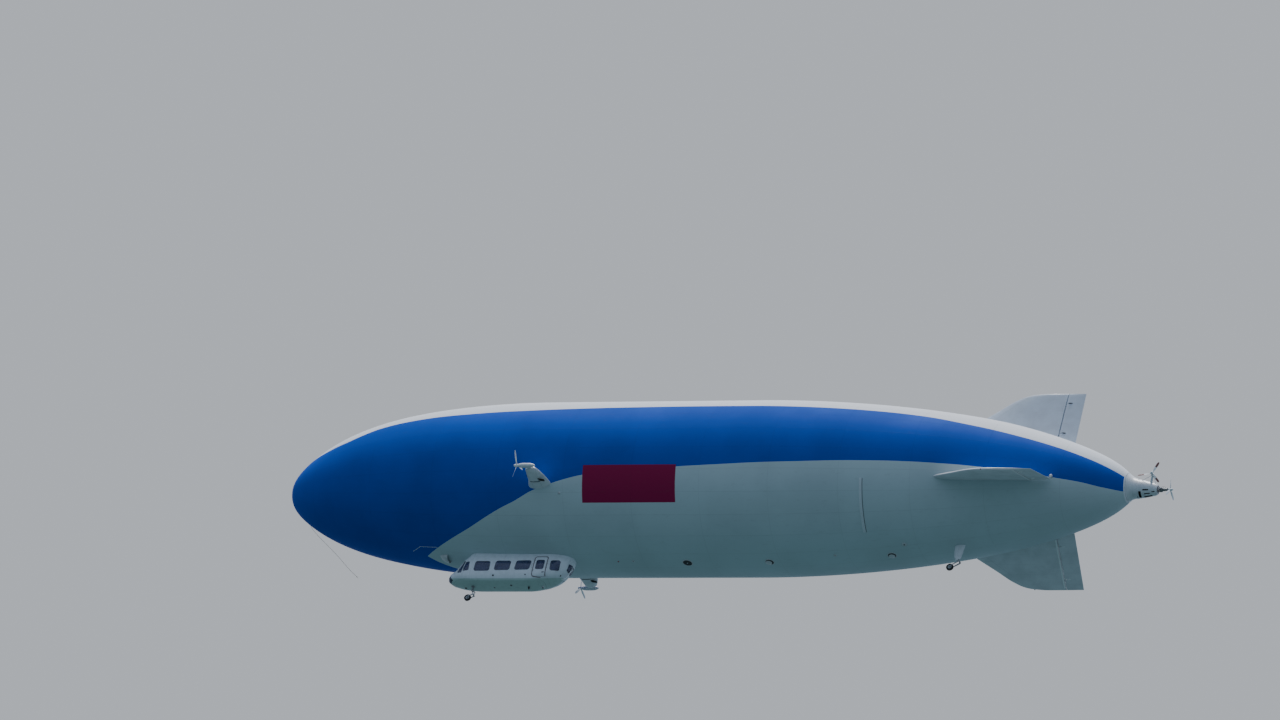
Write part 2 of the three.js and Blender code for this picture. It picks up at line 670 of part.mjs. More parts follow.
let cut = bothSides(through(DOOR));
for (const group of Object.values(OPENINGS)) for (const [o, make] of group) cut = cut.add(bothSides(make(o)));
const shellCut = shell.subtract(cut);

// The gondola's own panels: nose, belly pan, passenger section and tail.
const FRAME_NOSE = 17.92;
const FRAME_TAIL = 24.56;
const seam = GAP / SCALE / 2;
const slab = (x0, x1, z0, z1) => box(x0, x1, -3, 3, z0, z1);
const PAN_Z = -9.36;
const ROOF_Z = -7.3;
piece("gondola_nose", shellCut.intersect(slab(15, FRAME_NOSE - seam, -12, -6)), "grey");
piece("gondola_cabin", shellCut.intersect(slab(FRAME_NOSE + seam, FRAME_TAIL - seam, PAN_Z + seam, ROOF_Z - seam)), "grey");
piece("gondola_roof", shellCut.intersect(slab(FRAME_NOSE + seam, FRAME_TAIL - seam, ROOF_Z + seam, -6)), "grey");
piece("gondola_pan", shellCut.intersect(slab(FRAME_NOSE + seam, FRAME_TAIL - seam, -12, PAN_Z - seam)), "grey");
piece("gondola_tail", shellCut.intersect(slab(FRAME_TAIL + seam, 28, -12, -6)), "grey");

// Glazing: panes in the openings, joined by the glazing band behind the wall.
const liner = cabinBody(WALL + GAP).subtract(cabinBody(WALL + GAP + 4));
const paneSkin = cabinBody(1).subtract(cabinBody(WALL + GAP + 1));
const sides = { stbd: (body) => body, port: mirrored };
const g = GAP / SCALE;
const glazing = (group, band, side) => {
  let body = liner.intersect(band);
  for (const [o, make] of group) body = body.add(paneSkin.intersect(side(make(inset(o, g)))));
  return body.subtract(shellCut);
};
piece("glass_nose", glazing(OPENINGS.nose, box(15.5, 17.86, -1.3, 1.3, -9.2, -7.42), bothSides), "glass");
piece("glass_tail", glazing(OPENINGS.tail, box(24.62, 26.6, -1.3, 1.3, -8.62, -7.56), bothSides), "glass");

// Doors: the leaf fills its opening, hangs on two knuckles at its front edge and carries its own pane.
const leafOutline = inset(DOOR, CLEAR / SCALE);
const doorPane = rounded(DOOR_WINDOW, 0.14);
const hingeY = 1.1276;
const hingeX = DOOR_X[0] - 0.02;
let knuckles = rod([hingeX, hingeY, -8.74], [hingeX, hingeY, -8.66], 0.014, 12);
knuckles = knuckles.add(rod([hingeX, hingeY, -7.79], [hingeX, hingeY, -7.71], 0.014, 12));
for (const z of [-8.7, -7.75])
  knuckles = knuckles.add(
    union(
      box(hingeX - 0.004, DOOR_X[0] + 0.09, hingeY - 0.009, hingeY + 0.006, z - 0.035, z + 0.035),
      box(DOOR_X[0] + 0.03, DOOR_X[0] + 0.09, 1.075, hingeY, z - 0.035, z + 0.035),
    ),
  );
for (const [name, side] of Object.entries(sides)) {
  const band = side(box(18.0, 23.15, 0.2, 1.5, -8.8, -7.72));
  piece("glass_side_" + name, glazing(OPENINGS.side, band, side), "glass");
  const leaf = shell.intersect(side(through(leafOutline))).subtract(side(through(doorPane)));
  piece("door_" + name, leaf.add(side(knuckles)).subtract(shellCut), "grey");
  const doorGlass = cabinBody(1).subtract(cabinBody(WALL)).intersect(side(through(inset(doorPane, g))));
  piece("glass_door_" + name, doorGlass, "glass");
}

// Cabin floor, seats and the pilots' places.
const FLOOR_Z = -9.3;
const floorPlate = box(16.4, 25.0, -1.2, 1.2, FLOOR_Z, FLOOR_Z + 0.04)
  .intersect(cabinBody(WALL + GAP))
  .subtract(box(16, 17, -2, 2, -9.5, -9).subtract(cabinBody(WALL + GAP + 6)))
  .subtract(slab(24.3, 26, -12, -6));
piece("cabin_floor", floorPlate, "fabric");
const seatTop = FLOOR_Z + 0.04 + GAP / SCALE;
function seat(x, y) {
  return union(
    box(x, x + 0.42, y - 0.2, y + 0.2, seatTop + 0.3, seatTop + 0.42),
    prismY([[x + 0.36, seatTop + 0.36], [x + 0.46, seatTop + 0.36], [x + 0.6, seatTop + 1.02], [x + 0.5, seatTop + 1.02]], y - 0.2, y + 0.2),
    box(x + 0.1, x + 0.32, y - 0.06, y + 0.06, seatTop, seatTop + 0.32),
  );
}
function seatRow(xs, y) {
  let body = box(xs[0], xs[xs.length - 1] + 0.42, y - 0.06, y + 0.06, seatTop, seatTop + 0.04);
  for (const x of xs) body = body.add(seat(x, y));
  return body;
}
const rows = [18.3, 19.1, 19.9, 20.7, 21.5, 22.3];
piece("seats_stbd", seatRow(rows, 0.62), "fabric");
piece("seats_port", seatRow(rows, -0.62), "fabric");
const pilots = union(seat(17.0, 0.38), seat(17.0, -0.38), box(17.14, 17.28, -0.4, 0.4, seatTop, seatTop + 0.05));
piece("pilot_seats", pilots, "fabric");
const panel = union(
  box(16.5, 16.62, -0.5, 0.5, seatTop + 0.42, seatTop + 0.78),
  box(16.5, 16.9, -0.09, 0.09, seatTop, seatTop + 0.6),
);
piece("instrument_panel", panel.intersect(cabinBody(WALL + GAP + 6)), "black");

// Front landing gear under the gondola.
const [fx, fy, fz] = FRONT_WHEEL;
const frontLeg = union(
  rod([18.02, 0, -9.505], [18.02, 0, -9.6], 0.16, 16),
  rod([18.02, 0, -9.55], [18.0, 0, -9.98], 0.075, 14),
  rod([18.0, 0, -9.9], [18.23, 0, -10.37], 0.05, 12),
  rod([18.23, -0.16, -10.37], [18.23, 0.16, -10.37], 0.055, 12),
  rod([18.23, 0.16, -10.37], [fx, 0.16, fz], 0.035, 10),
  rod([18.23, -0.16, -10.37], [fx, -0.16, fz], 0.035, 10),
  rod([fx, -0.18, fz], [fx, -0.135, fz], 0.06, 12),
  rod([fx, 0.135, fz], [fx, 0.18, fz], 0.06, 12),
).subtract(cabinBody(-GAP));
function wheel(x, z, radius, half, bore) {
  const rows = [
    [0, 0.06],
    [half * 0.62, 0.06],
    [half * 0.62, radius * 0.5],
    [half * 0.9, radius * 0.6],
    [half, radius * 0.78],
    [half * 0.8, radius * 0.93],
    [half * 0.4, radius],
  ];
  const full = [...rows.slice(1).map(([a, r]) => [a, r]), ...rows.slice(1).reverse().map(([a, r]) => [-a, r])];
  const n = 20;
  const pts = full.map(([a, r]) => [a, r]);
  const ringAt = ([a, r]) =>
    Array.from({ length: n }, (_, i) => {
      const t = (i / n) * 2 * Math.PI;
      return at(x + r * Math.cos(t), a, z + r * Math.sin(t));
    });
  return skin(pts.map(ringAt)).add(rod([x, -bore, z], [x, bore, z], 0.025, 12));
}
const frontWheel = wheel(fx, fz, FRONT_WHEEL_RADIUS, 0.1, 0.17);
const axleBore = (x, z) => rod([x, -0.3, z], [x, 0.3, z], 0.0266, 12);
piece("front_gear_leg", frontLeg.subtract(axleBore(fx, fz)), "metal");
piece("front_wheel", frontWheel, "black");

// Rear landing gear under the tail.
const [rx, ry, rz] = REAR_WHEEL;
const rearLeg = union(
  prismY([[58.2, -5.2], [59.1, -5.2], [58.98, -6.7], [58.8, -7.1], [58.5, -7.1], [58.3, -6.5]], -0.11, 0.11),
  rod([58.7, 0, -6.9], [58.89, 0, -7.24], 0.06, 12),
  rod([58.89, -0.16, -7.24], [58.89, 0.16, -7.24], 0.06, 12),
  rod([58.89, 0.16, -7.24], [rx, 0.16, rz], 0.035, 10),
  rod([58.89, -0.16, -7.24], [rx, -0.16, rz], 0.035, 10),
  rod([rx, -0.18, rz], [rx, -0.135, rz], 0.06, 12),
  rod([rx, 0.135, rz], [rx, 0.18, rz], 0.06, 12),
).subtract(hullGrown);
piece("rear_gear_leg", rearLeg.subtract(axleBore(rx, rz)), "white");
piece("rear_wheel", wheel(rx, rz, REAR_WHEEL_RADIUS, 0.1, 0.17), "black");

// Handling line that trails from the underside of the nose.
const ROPE_Y = 1.0;
const ROPE = [
  [1.5, -2.4],
  [1.7, -2.76],
  [2.1, -3.24],
  [3.65, -4.68],
  [5.19, -6.1],
  [6.25, -7.14],
  [7.04, -7.82],
];
const ROPE_RADIUS = 6; // mm
const ropeCurve = new THREE.CatmullRomCurve3(ROPE.map(([x, z]) => at(x, ROPE_Y, z)));
const ropeShape = new THREE.Shape();
ropeShape.absarc(0, 0, ROPE_RADIUS, 0, 2 * Math.PI, false);
const rope = new THREE.ExtrudeGeometry(ropeShape, { steps: 14, curveSegments: 3, extrudePath: ropeCurve });
piece("nose_rope", solid(rope).subtract(hullGrown), "rope");

export default root;
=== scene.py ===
"""Shapes and finishes of the airship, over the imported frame. Lengths are model metres, a 1:2 scale."""
import math

import bmesh
import bpy
import numpy as np
from bpy.props import FloatProperty, FloatVectorProperty, IntProperty, PointerProperty
from mathutils import Matrix, Vector


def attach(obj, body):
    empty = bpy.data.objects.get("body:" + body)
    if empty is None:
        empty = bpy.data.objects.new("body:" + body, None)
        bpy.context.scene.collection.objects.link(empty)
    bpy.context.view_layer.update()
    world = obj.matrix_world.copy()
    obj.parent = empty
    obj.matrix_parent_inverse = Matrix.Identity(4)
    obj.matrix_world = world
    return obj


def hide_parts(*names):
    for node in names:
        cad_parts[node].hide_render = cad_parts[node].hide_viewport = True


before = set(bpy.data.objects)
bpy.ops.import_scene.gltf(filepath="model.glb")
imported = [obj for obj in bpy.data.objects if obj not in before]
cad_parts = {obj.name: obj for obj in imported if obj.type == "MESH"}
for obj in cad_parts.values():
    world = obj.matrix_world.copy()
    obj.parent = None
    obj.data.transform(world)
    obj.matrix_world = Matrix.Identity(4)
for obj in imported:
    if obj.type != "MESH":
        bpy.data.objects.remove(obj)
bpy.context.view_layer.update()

bl_info = {
    "name": "Airship Model",
    "version": (1, 0, 0),
    "blender": (4, 5, 0),
    "location": "3D Viewport > Sidebar > Airship",
    "description": "Builds the hull, fins, propellers, gondola and gear of a 1:2 scale airship",
    "category": "Add Mesh",
}

# Tables give metres of the full-size craft: x aft of the nose tip, y to starboard, z up from the hull axis
SCALE = 0.5
BUOYANCY_X = 34.3
HULL_RADIUS = 7.1
FORE_LENGTH = 23.479
AFT_START = 41.037
AFT_LENGTH = 31.165
HULL_END = 71.2
CLOTH_END = 71.585
HINGE_X = 64.95
HINGE_GAP = 0.016
FIN_TRAIL = 66.3
TRAIL_HALF = 0.012
FIN_TIP = 9.15
FIN_CLOCKS = {"top": 0.0, "port": 117.0, "stbd": -117.0}
LOWER_FIN_SHIFT = 0.1
POD_PIVOT = (24.2, 8.43, -3.7)
STERN_PIVOT = (74.25, 0.0, -0.3)
LATERAL_HUB = (73.65, -1.14, 0.45)
STUB_Z = -3.72
DOOR_X = (23.3, 24.42)
DOOR_Z = (-9.25, -7.37)
DOOR_CORNER = 0.2
FRAME_NOSE = 17.92
FRAME_TAIL = 24.56
PAN_Z = -9.36
FLOOR_TOP = -9.26
SEAT_FOOT = FLOOR_TOP + 0.0006
# Height of the stage's floor, in model metres
STAGE_Z = -181.1


def model_x(x):
    return (x - BUOYANCY_X) * SCALE


def model_point(x, y, z):
    return Vector((model_x(x), y * SCALE, z * SCALE))


def spot(place):
    """A place in model metres: a tuple is one in full-size metres, and a Vector stays as it is."""
    return place if isinstance(place, Vector) else model_point(*place)


def around(count):
    """Angles of even steps around a circle."""
    return [2 * math.pi * i / count for i in range(count)]


def arc(start, steps):
    """Angles of even steps over half a circle."""
    return [start + math.pi * i / steps for i in range(steps + 1)]


def rounded_steps(start, bend, end, even, late):
    """Steps from start to end: even ones as far as bend, and ever closer ones after it."""
    last = bend + (end - bend) * np.sin(np.linspace(0, 1, late)[1:] * math.pi / 2)
    return np.concatenate([np.linspace(start, bend, even), last])


def smooth_curve(xs, ys):
    """A curve through the points of a table that never swings past them."""
    xs = np.asarray(xs, float)
    ys = np.asarray(ys, float)
    h = np.diff(xs)
    d = np.diff(ys) / h
    m = np.empty(len(xs))
    m[0] = d[0]
    m[-1] = d[-1]
    for k in range(1, len(xs) - 1):
        if d[k - 1] * d[k] <= 0:
            m[k] = 0
        else:
            a = 2 * h[k] + h[k - 1]
            b = h[k] + 2 * h[k - 1]
            m[k] = (a + b) / (a / d[k - 1] + b / d[k])

    def value(x):
        x = np.clip(np.asarray(x, float), xs[0], xs[-1])
        k = np.clip(np.searchsorted(xs, x, side="right") - 1, 0, len(xs) - 2)
        t = (x - xs[k]) / h[k]
        return (
            ys[k] * (1 + 2 * t) * (1 - t) ** 2
            + h[k] * m[k] * t * (1 - t) ** 2
            + ys[k + 1] * t * t * (3 - 2 * t)
            + h[k] * m[k + 1] * t * t * (t - 1)
        )

    return value


def table_curve(rows, k=1):
    """A column of a table as a smooth curve over its first column."""
    return smooth_curve([row[0] for row in rows], [row[k] for row in rows])


def natural_curve(xs, ys):
    """A cubic spline with free ends."""
    n = len(xs)
    h = np.diff(xs)
    a = np.eye(n)
    b = np.zeros(n)
    for k in range(1, n - 1):
        a[k, k - 1 : k + 2] = h[k - 1], 2 * (h[k - 1] + h[k]), h[k]
        b[k] = 6 * ((ys[k + 1] - ys[k]) / h[k] - (ys[k] - ys[k - 1]) / h[k - 1])
    m = np.linalg.solve(a, b)

    def value(x):
        k = np.clip(np.searchsorted(xs, x, side="right") - 1, 0, n - 2)
        t = x - xs[k]
        s = xs[k + 1] - x
        bend = (m[k] * s**3 + m[k + 1] * t**3) / (6 * h[k])
        return bend + (ys[k] / h[k] - m[k] * h[k] / 6) * s + (ys[k + 1] / h[k] - m[k + 1] * h[k] / 6) * t

    return value


def run_length(points):
    """Length of a broken line up to each of its points."""
    return np.concatenate([[0], np.cumsum(np.linalg.norm(np.diff(points, axis=0), axis=1))])


def curve_through(points, steps):
    """Evenly spread points of a smooth curve through the given ones, and its length."""
    points = np.array([tuple(spot(p)) for p in points], float)
    reach = run_length(points)
    fine = np.linspace(0, reach[-1], 400)
    path = np.stack([natural_curve(reach, points[:, k])(fine) for k in range(3)], 1)
    along = run_length(path)
    at = np.linspace(0, along[-1], steps)
    return [Vector([float(np.interp(s, along, path[:, k])) for k in range(3)]) for s in at], float(along[-1])


# Tail fairing behind the hull: station, height of the middle, radius
FAIRING = [
    (71.2, -0.09, 1.481), (71.5, -0.1, 1.23), (71.8, -0.12, 1.0), (72.1, -0.17, 0.85), (72.4, -0.23, 0.79),
]
FAIRING_MIDDLE = table_curve(FAIRING, 1)
FAIRING_RADIUS = table_curve(FAIRING, 2)


def tail_share(x):
    """0 ahead of the tail and 1 on the last metres of the hull."""
    u = np.clip((x - 60) / 9, 0, 1)
    return u * u * (3 - 2 * u)


def hull_radius(x):
    """Radius of the hull, carried on over the front of the tail fairing."""
    x = np.asarray(x, float)
    trim = 0.27 * (x / 1.8) * np.exp(1 - x / 1.8)
    ahead = np.clip(FORE_LENGTH - x, 0, FORE_LENGTH) / FORE_LENGTH
    behind = np.clip(x - AFT_START, 0, AFT_LENGTH) / AFT_LENGTH
    fore = HULL_RADIUS * (1 - ahead**2.1412) ** 0.472 - trim
    aft = HULL_RADIUS * (1 - behind**1.8133) ** 0.51945 - 0.13 * tail_share(x)
    body = np.where(x < FORE_LENGTH, fore, np.where(x > AFT_START, aft, HULL_RADIUS))
    return np.where(x > HULL_END, FAIRING_RADIUS(x), body)


def hull_middle(x):
    """Height of the middle of a hull section: both ends hang a little below the axis."""
    x = np.asarray(x, float)
    nose = -0.4 * np.clip(1 - np.maximum(x, 0) / 10.5, 0, 1) ** 1.5
    return np.where(x > HULL_END, FAIRING_MIDDLE(x), nose - 0.09 * tail_share(x))


def ring_x(x, z, r, sides):
    """A round ring of points about the X direction."""
    return [model_point(x, -r * math.sin(t), z + r * math.cos(t)) for t in around(sides)]


class Shape:
    """Corners and faces of a piece while it is put together.

    Places are taken as spot takes them, apart from the corners given to add, which are in model metres.
    """

    def __init__(self):
        self.corners = []
        self.faces = []
        self.finish = []
        self.marks = {}

    def add(self, corners, faces, finish=0, marks=None):
        start = len(self.corners)
        self.corners.extend([tuple(c) for c in corners])
        self.faces.extend([tuple(start + i for i in f) for f in faces])
        self.finish.extend([finish] * len(faces))
        for name, values in (marks or {}).items():
            row = self.marks.setdefault(name, [])
            row.extend([0.0] * (start - len(row)))
            row.extend([float(v) for v in values])
        return self

    def join(self, other):
        """Takes in another shape with its finishes."""
        self.add(other.corners, other.faces)
        self.finish[-len(other.faces) :] = other.finish
        return self

    def rings(self, rings, finish=0, caps=True, marks=None):
        """A skin over rings of equal point counts."""
        n = len(rings[0])
        corners = [spot(p) for ring in rings for p in ring]
        faces = []
        for k in range(len(rings) - 1):
            for i in range(n):
                j = (i + 1) % n
                faces.append((k * n + i, k * n + j, (k + 1) * n + j, (k + 1) * n + i))
        if caps:
            faces.append(tuple(reversed(range(n))))
            faces.append(tuple(range((len(rings) - 1) * n, len(rings) * n)))
        return self.add(corners, faces, finish, marks)

    def turned(self, rows, base, axis, sides=32, finish=0, caps=True):
        """A turned body: rows of (distance along the axis, radius), in model metres."""
        axis = Vector(axis).normalized()
        base = spot(base)
        u = axis.orthogonal().normalized()
        w = axis.cross(u)
        rings = []
        for d, r in rows:
            r = max(r, 1e-5)
            rings.append([base + axis * d + (u * math.cos(t) + w * math.sin(t)) * r for t in around(sides)])
        return self.rings(rings, finish, caps)

    def bolts(self, centre, axis, radius, count, size, finish=0):
        """Six-sided bolt heads on a circle around an axis."""
        axis = Vector(axis).normalized()
        u = axis.orthogonal().normalized()
        w = axis.cross(u)
        for t in around(count):
            at = spot(centre) + (u * math.cos(t) + w * math.sin(t)) * radius
            self.turned([(0, size), (size * 0.7, size), (size * 0.9, size * 0.75)], at, axis, 6, finish)
        return self

    def rod(self, a, b, radius, sides=16, finish=0):
        """A straight rod between two points with lightly rounded ends."""
        a = spot(a)
        way = spot(b) - a
        edge = min(radius * 0.15, way.length * 0.2)
        rows = [(0, radius - edge), (edge, radius), (way.length - edge, radius), (way.length, radius - edge)]
        return self.turned(rows, a, way, sides, finish)

    def tube(self, path, radius, sides=12, finish=0, flat=1.0, closed=False):
        """A tube along a path; flat squeezes it across the path's own normal."""
        path = [spot(p) for p in path]
        n = len(path)
        tangents = []
        for i in range(n):
            a = path[(i - 1) % n] if closed or i > 0 else path[i]
            b = path[(i + 1) % n] if closed or i < n - 1 else path[i]
            tangents.append((b - a).normalized())
        u = tangents[0].orthogonal().normalized()
        rings = []
        for p, t in zip(path, tangents):
            u = (u - t * u.dot(t)).normalized()
            w = t.cross(u)
            ring = []
            for q in around(sides):
                ring.append(p + u * (math.cos(q) * radius) + w * (math.sin(q) * radius * flat))
            rings.append(ring)
        if closed:
            rings.append(rings[0])
        return self.rings(rings, finish, not closed)

    def bent(self, points, steps, radius, sides=12, finish=0):
        """A tube along a smooth curve through a few points."""
        return self.tube(curve_through(points, steps)[0], radius, sides, finish)

    def block(self, low, high, edge, finish=0):
        """A block with rounded edges between two corners."""
        low = spot(low)
        high = spot(high)
        size = high - low
        bm = bmesh.new()
        bmesh.ops.create_cube(bm, size=1)
        for v in bm.verts:
            v.co *= size
        edge = min(edge, 0.49 * min(size))
        bmesh.ops.bevel(bm, geom=bm.edges[:], offset=edge, segments=2, affect="EDGES", profile=0.5)
        bmesh.ops.translate(bm, vec=(low + high) / 2, verts=bm.verts)
        bm.verts.index_update()
        corners = [v.co.copy() for v in bm.verts]
        faces = [tuple(v.index for v in f.verts) for f in bm.faces]
        bm.free()
        return self.add(corners, faces, finish)

    def mirrored(self):
        """The same shape on the other side of the craft."""
        other = Shape()
        other.corners = [(x, -y, z) for x, y, z in self.corners]
        other.faces = [tuple(reversed(f)) for f in self.faces]
        other.finish = list(self.finish)
        other.marks = {k: list(v) for k, v in self.marks.items()}
        return other

    def on(self, side):
        """The shape as it is to starboard, and mirrored to port."""
        return self if side == "stbd" else self.mirrored()

    def mesh(self, name):
        mesh = bpy.data.meshes.new(name)
        mesh.from_pydata(self.corners, [], self.faces)
        mesh.polygons.foreach_set("material_index", self.finish)
        for key, values in self.marks.items():
            values = values + [0.0] * (len(self.corners) - len(values))
            mesh.attributes.new(key, "FLOAT", "POINT").data.foreach_set("value", values)
        bm = bmesh.new()
        bm.from_mesh(mesh)
        bmesh.ops.remove_doubles(bm, verts=bm.verts, dist=2e-5)
        bmesh.ops.recalc_face_normals(bm, faces=bm.faces)
        bm.to_mesh(mesh)
        bm.free()
        return mesh


def place(name, source, finishes, slot, replaces=(), body="hull", crease=35):
    """Puts a piece into the scene on its body, with its finishes. The slot is not used."""
    mesh = source.mesh(name) if isinstance(source, Shape) else source
    mesh.name = name
    piece = bpy.data.objects.new(name, mesh)
    bpy.context.scene.collection.objects.link(piece)
    shades = [polygon.material_index for polygon in mesh.polygons]
    mesh.materials.clear()
    for finish in finishes:
        mesh.materials.append(finish)
    mesh.polygons.foreach_set("material_index", shades)
    mesh.shade_smooth()
    if crease:
        mesh.set_sharp_from_angle(angle=math.radians(crease))
    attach(piece, body)
    if replaces:
        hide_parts(*replaces)
    return piece


def dress(nodes, finish):
    """Gives CAD nodes that stay in sight a finish."""
    for node in nodes:
        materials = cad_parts[node].data.materials
        materials.clear()
        materials.append(finish)


def combined(base, cutters, operation="DIFFERENCE"):
    """A mesh or shape after it is cut by, or kept within, each of the cutters."""
    made = []
    for item in (base, *cutters):
        mesh = item.mesh("work") if isinstance(item, Shape) else item
        made.append(bpy.data.objects.new("work", mesh))
        bpy.context.scene.collection.objects.link(made[-1])
    for tool in made[1:]:
        step = made[0].modifiers.new("cut", "BOOLEAN")
        step.operation = operation
        step.solver = "EXACT"
        step.object = tool
    graph = bpy.context.evaluated_depsgraph_get()
    cut = made[0].evaluated_get(graph)
    result = bpy.data.meshes.new_from_object(cut, preserve_all_data_layers=True, depsgraph=graph)
    for item in made:
        bpy.data.objects.remove(item)
    if len(result.polygons) == 0:
        raise RuntimeError("a cut left nothing of a piece")
    return result


def link_nodes(tree, kind, inputs=None, **settings):
    """A new node with its settings, and its inputs linked to sockets or set to values."""
    node = tree.nodes.new(kind)
    for key, value in settings.items():
        setattr(node, key, value)
    for key, value in (inputs or {}).items():
        socket = node.inputs[key]
        if isinstance(value, bpy.types.NodeSocket):
            tree.links.new(value, socket)
        else:
            socket.default_value = value
    return node


class Finish:
    """A material under construction: a principled shader and the nodes that feed it."""

    def __init__(self, name, **sockets):
        self.material = bpy.data.materials.new(name)
        self.material.use_nodes = True
        self.tree = self.material.node_tree
        self.shader = self.tree.nodes["Principled BSDF"]
        for key, value in sockets.items():
            self.shader.inputs[key.replace("_", " ")].default_value = value
        self.place = self.node("ShaderNodeTexCoord").outputs["Object"]

    def node(self, kind, inputs=None, **settings):
        return link_nodes(self.tree, kind, inputs, **settings)

    def math(self, operation, a, b=0.0):
        return self.node("ShaderNodeMath", {0: a, 1: b}, operation=operation).outputs[0]

    def times(self, a, b):
        return self.math("MULTIPLY", a, b)

    def most(self, values):
        """The greatest of several values."""
        out = values[0]
        for value in values[1:]:
            out = self.math("MAXIMUM", out, value)
        return out

    def noise(self, scale, detail=4.0, stretch=None):
        place = self.place
        if stretch:
            place = self.node("ShaderNodeMapping", {"Vector": place, "Scale": stretch}).outputs[0]
        inputs = {"Vector": place, "Scale": scale, "Detail": detail, "Roughness": 0.55}
        return self.node("ShaderNodeTexNoise", inputs).outputs["Fac"]

    def ramp(self, value, low, high, start=0.0, end=1.0):
        inputs = {"Value": value, "From Min": low, "From Max": high, "To Min": start, "To Max": end}
        return self.node("ShaderNodeMapRange", inputs, interpolation_type="SMOOTHSTEP").outputs["Result"]

    def between(self, value, low, high, soft):
        """1 from low to high and 0 outside, with soft ends."""
        rise = self.ramp(value, low - soft, low + soft)
        return self.times(rise, self.ramp(value, high - soft, high + soft, 1.0, 0.0))

    def mix(self, amount, a, b):
        a, b = (v if isinstance(v, bpy.types.NodeSocket) else (*v[:3], 1.0) for v in (a, b))
        return self.node("ShaderNodeMix", {0: amount, 6: a, 7: b}, data_type="RGBA").outputs[2]

    def stain(self, tone, value, low, high, colour, amount=1.0):
        """The tone with a share of a colour over it where the value rises from low to high."""
        return self.mix(self.ramp(value, low, high, 0.0, amount), tone, colour)

    def mark(self, name):
        return self.node("ShaderNodeAttribute", attribute_name=name).outputs["Fac"]

    def axis(self, name):
        return self.node("ShaderNodeSeparateXYZ", {0: self.place}).outputs[name]

    def weave(self, size):
        """Crossed threads of a woven cloth, as a height from 0 to 1."""
        total = 0.0
        for direction in ("X", "Y", "Z"):
            inputs = {"Vector": self.place, "Scale": 1.0 / size}
            wave = self.node("ShaderNodeTexWave", inputs, wave_type="BANDS", bands_direction=direction)
            total = self.math("ADD", wave.outputs["Fac"], total)
        return self.times(total, 0.333)

    def line(self, value, at, width):
        """1 on a line where value equals at, and 0 away from it."""
        away = self.math("ABSOLUTE", self.math("SUBTRACT", value, at))
        return self.ramp(away, width * 0.4, width, 1.0, 0.0)

    def colour(self, value):
        self.tree.links.new(value, self.shader.inputs["Base Color"])
        return self

    def rough(self, value, low, high):
        self.tree.links.new(self.ramp(value, 0.25, 0.75, low, high), self.shader.inputs["Roughness"])
        return self

    def bump(self, height, depth, strength=1.0):
        inputs = {"Height": height, "Distance": depth, "Strength": strength}
        earlier = self.shader.inputs["Normal"].links
        if earlier:
            inputs["Normal"] = earlier[0].from_socket
        self.tree.links.new(self.node("ShaderNodeBump", inputs).outputs[0], self.shader.inputs["Normal"])
        return self


def darker(colour, share):
    return [c * share for c in colour]


def painted(name, colour, rough=(0.3, 0.42), grime=0.12, grain=0.0006, coat=0.0):
    """Sprayed paint: slight orange peel, cloudy tone and thin dirt."""
    finish = Finish(name, Coat_Weight=coat)
    cloud = finish.noise(3.0, 6.0)
    tone = finish.stain(colour, cloud, 0.35, 0.75, darker(colour, 0.78), 0.25)
    tone = finish.stain(tone, finish.noise(42.0, 3.0), 0.56, 0.74, (0.16, 0.15, 0.13), grime)
    finish.colour(tone).rough(cloud, *rough).bump(finish.noise(180.0, 2.0), grain, 0.5)
    return finish.material


def metal(name, colour, rough, brushed=True, grime=0.25):
    """Machined or cast metal with fine marks and grease in the hollows."""
    finish = Finish(name, Metallic=1.0)
    cloud = finish.noise(14.0, 5.0)
    scratch = finish.noise(60.0, 3.0, stretch=(1, 9, 9)) if brushed else finish.noise(90.0, 3.0)
    tone = finish.stain(colour, scratch, 0.3, 0.7, darker(colour, 0.82))
    tone = finish.stain(tone, cloud, 0.5, 0.75, (0.05, 0.045, 0.04), grime)
    finish.colour(tone).rough(cloud, rough, rough + 0.18).bump(scratch, 0.0003, 0.5)
    return finish.material


def rubber(name, colour=(0.02, 0.02, 0.021)):
    """Matt rubber with dust on it."""
    finish = Finish(name)
    grain = finish.noise(120.0, 4.0)
    tone = finish.stain(colour, finish.noise(12.0, 5.0), 0.5, 0.75, (0.13, 0.12, 0.105), 0.25)
    finish.colour(tone).rough(grain, 0.6, 0.8).bump(grain, 0.0006, 0.5)
    return finish.material


class HullSettings(bpy.types.PropertyGroup):
    """Sizes and colours of the hull and fins."""

    sides: IntProperty(name="Sides", description="Faces around the hull", default=144, min=48)
    gores: IntProperty(name="Gores", description="Cloth strips around the hull", default=24, min=8)
    blue: FloatVectorProperty(
        name="Flank Colour",
        description="Nose and flanks",
        default=(0.001, 0.085, 0.5),
        subtype="COLOR",
        size=3,
    )
    white: FloatVectorProperty(
        name="Crown Colour",
        description="Crown and fins",
        default=(0.78, 0.79, 0.82),
        subtype="COLOR",
        size=3,
    )
    # The belly's grey-green is painted shade and a painted reflection of the ground on the white lower hull
    belly: FloatVectorProperty(
        name="Belly Colour",
        description="Lower hull",
        default=(0.56, 0.665, 0.69),
        subtype="COLOR",
        size=3,
    )
    panel: FloatVectorProperty(
        name="Sign Panel Colour",
        description="Blank panel",
        default=(0.32, 0.014, 0.08),
        subtype="COLOR",
        size=3,
    )


class LineSettings(bpy.types.PropertyGroup):
    """Sizes of the handling line at the nose."""

    diameter: FloatProperty(
        name="Diameter", description="Thickness of the line", default=0.012, subtype="DISTANCE", unit="LENGTH"
    )


class StageSettings(bpy.types.PropertyGroup):
    """Light and floor around the airship."""

    sun: FloatProperty(name="Key Light", description="Strength of the high soft light", default=3.2, min=0)
    fill: FloatProperty(name="Fill Light", description="Strength of the surroundings", default=0.75, min=0)
    floor: FloatProperty(
        name="Floor Radius",
        description="Size of the round floor",
        default=150,
        subtype="DISTANCE",
        unit="LENGTH",
    )


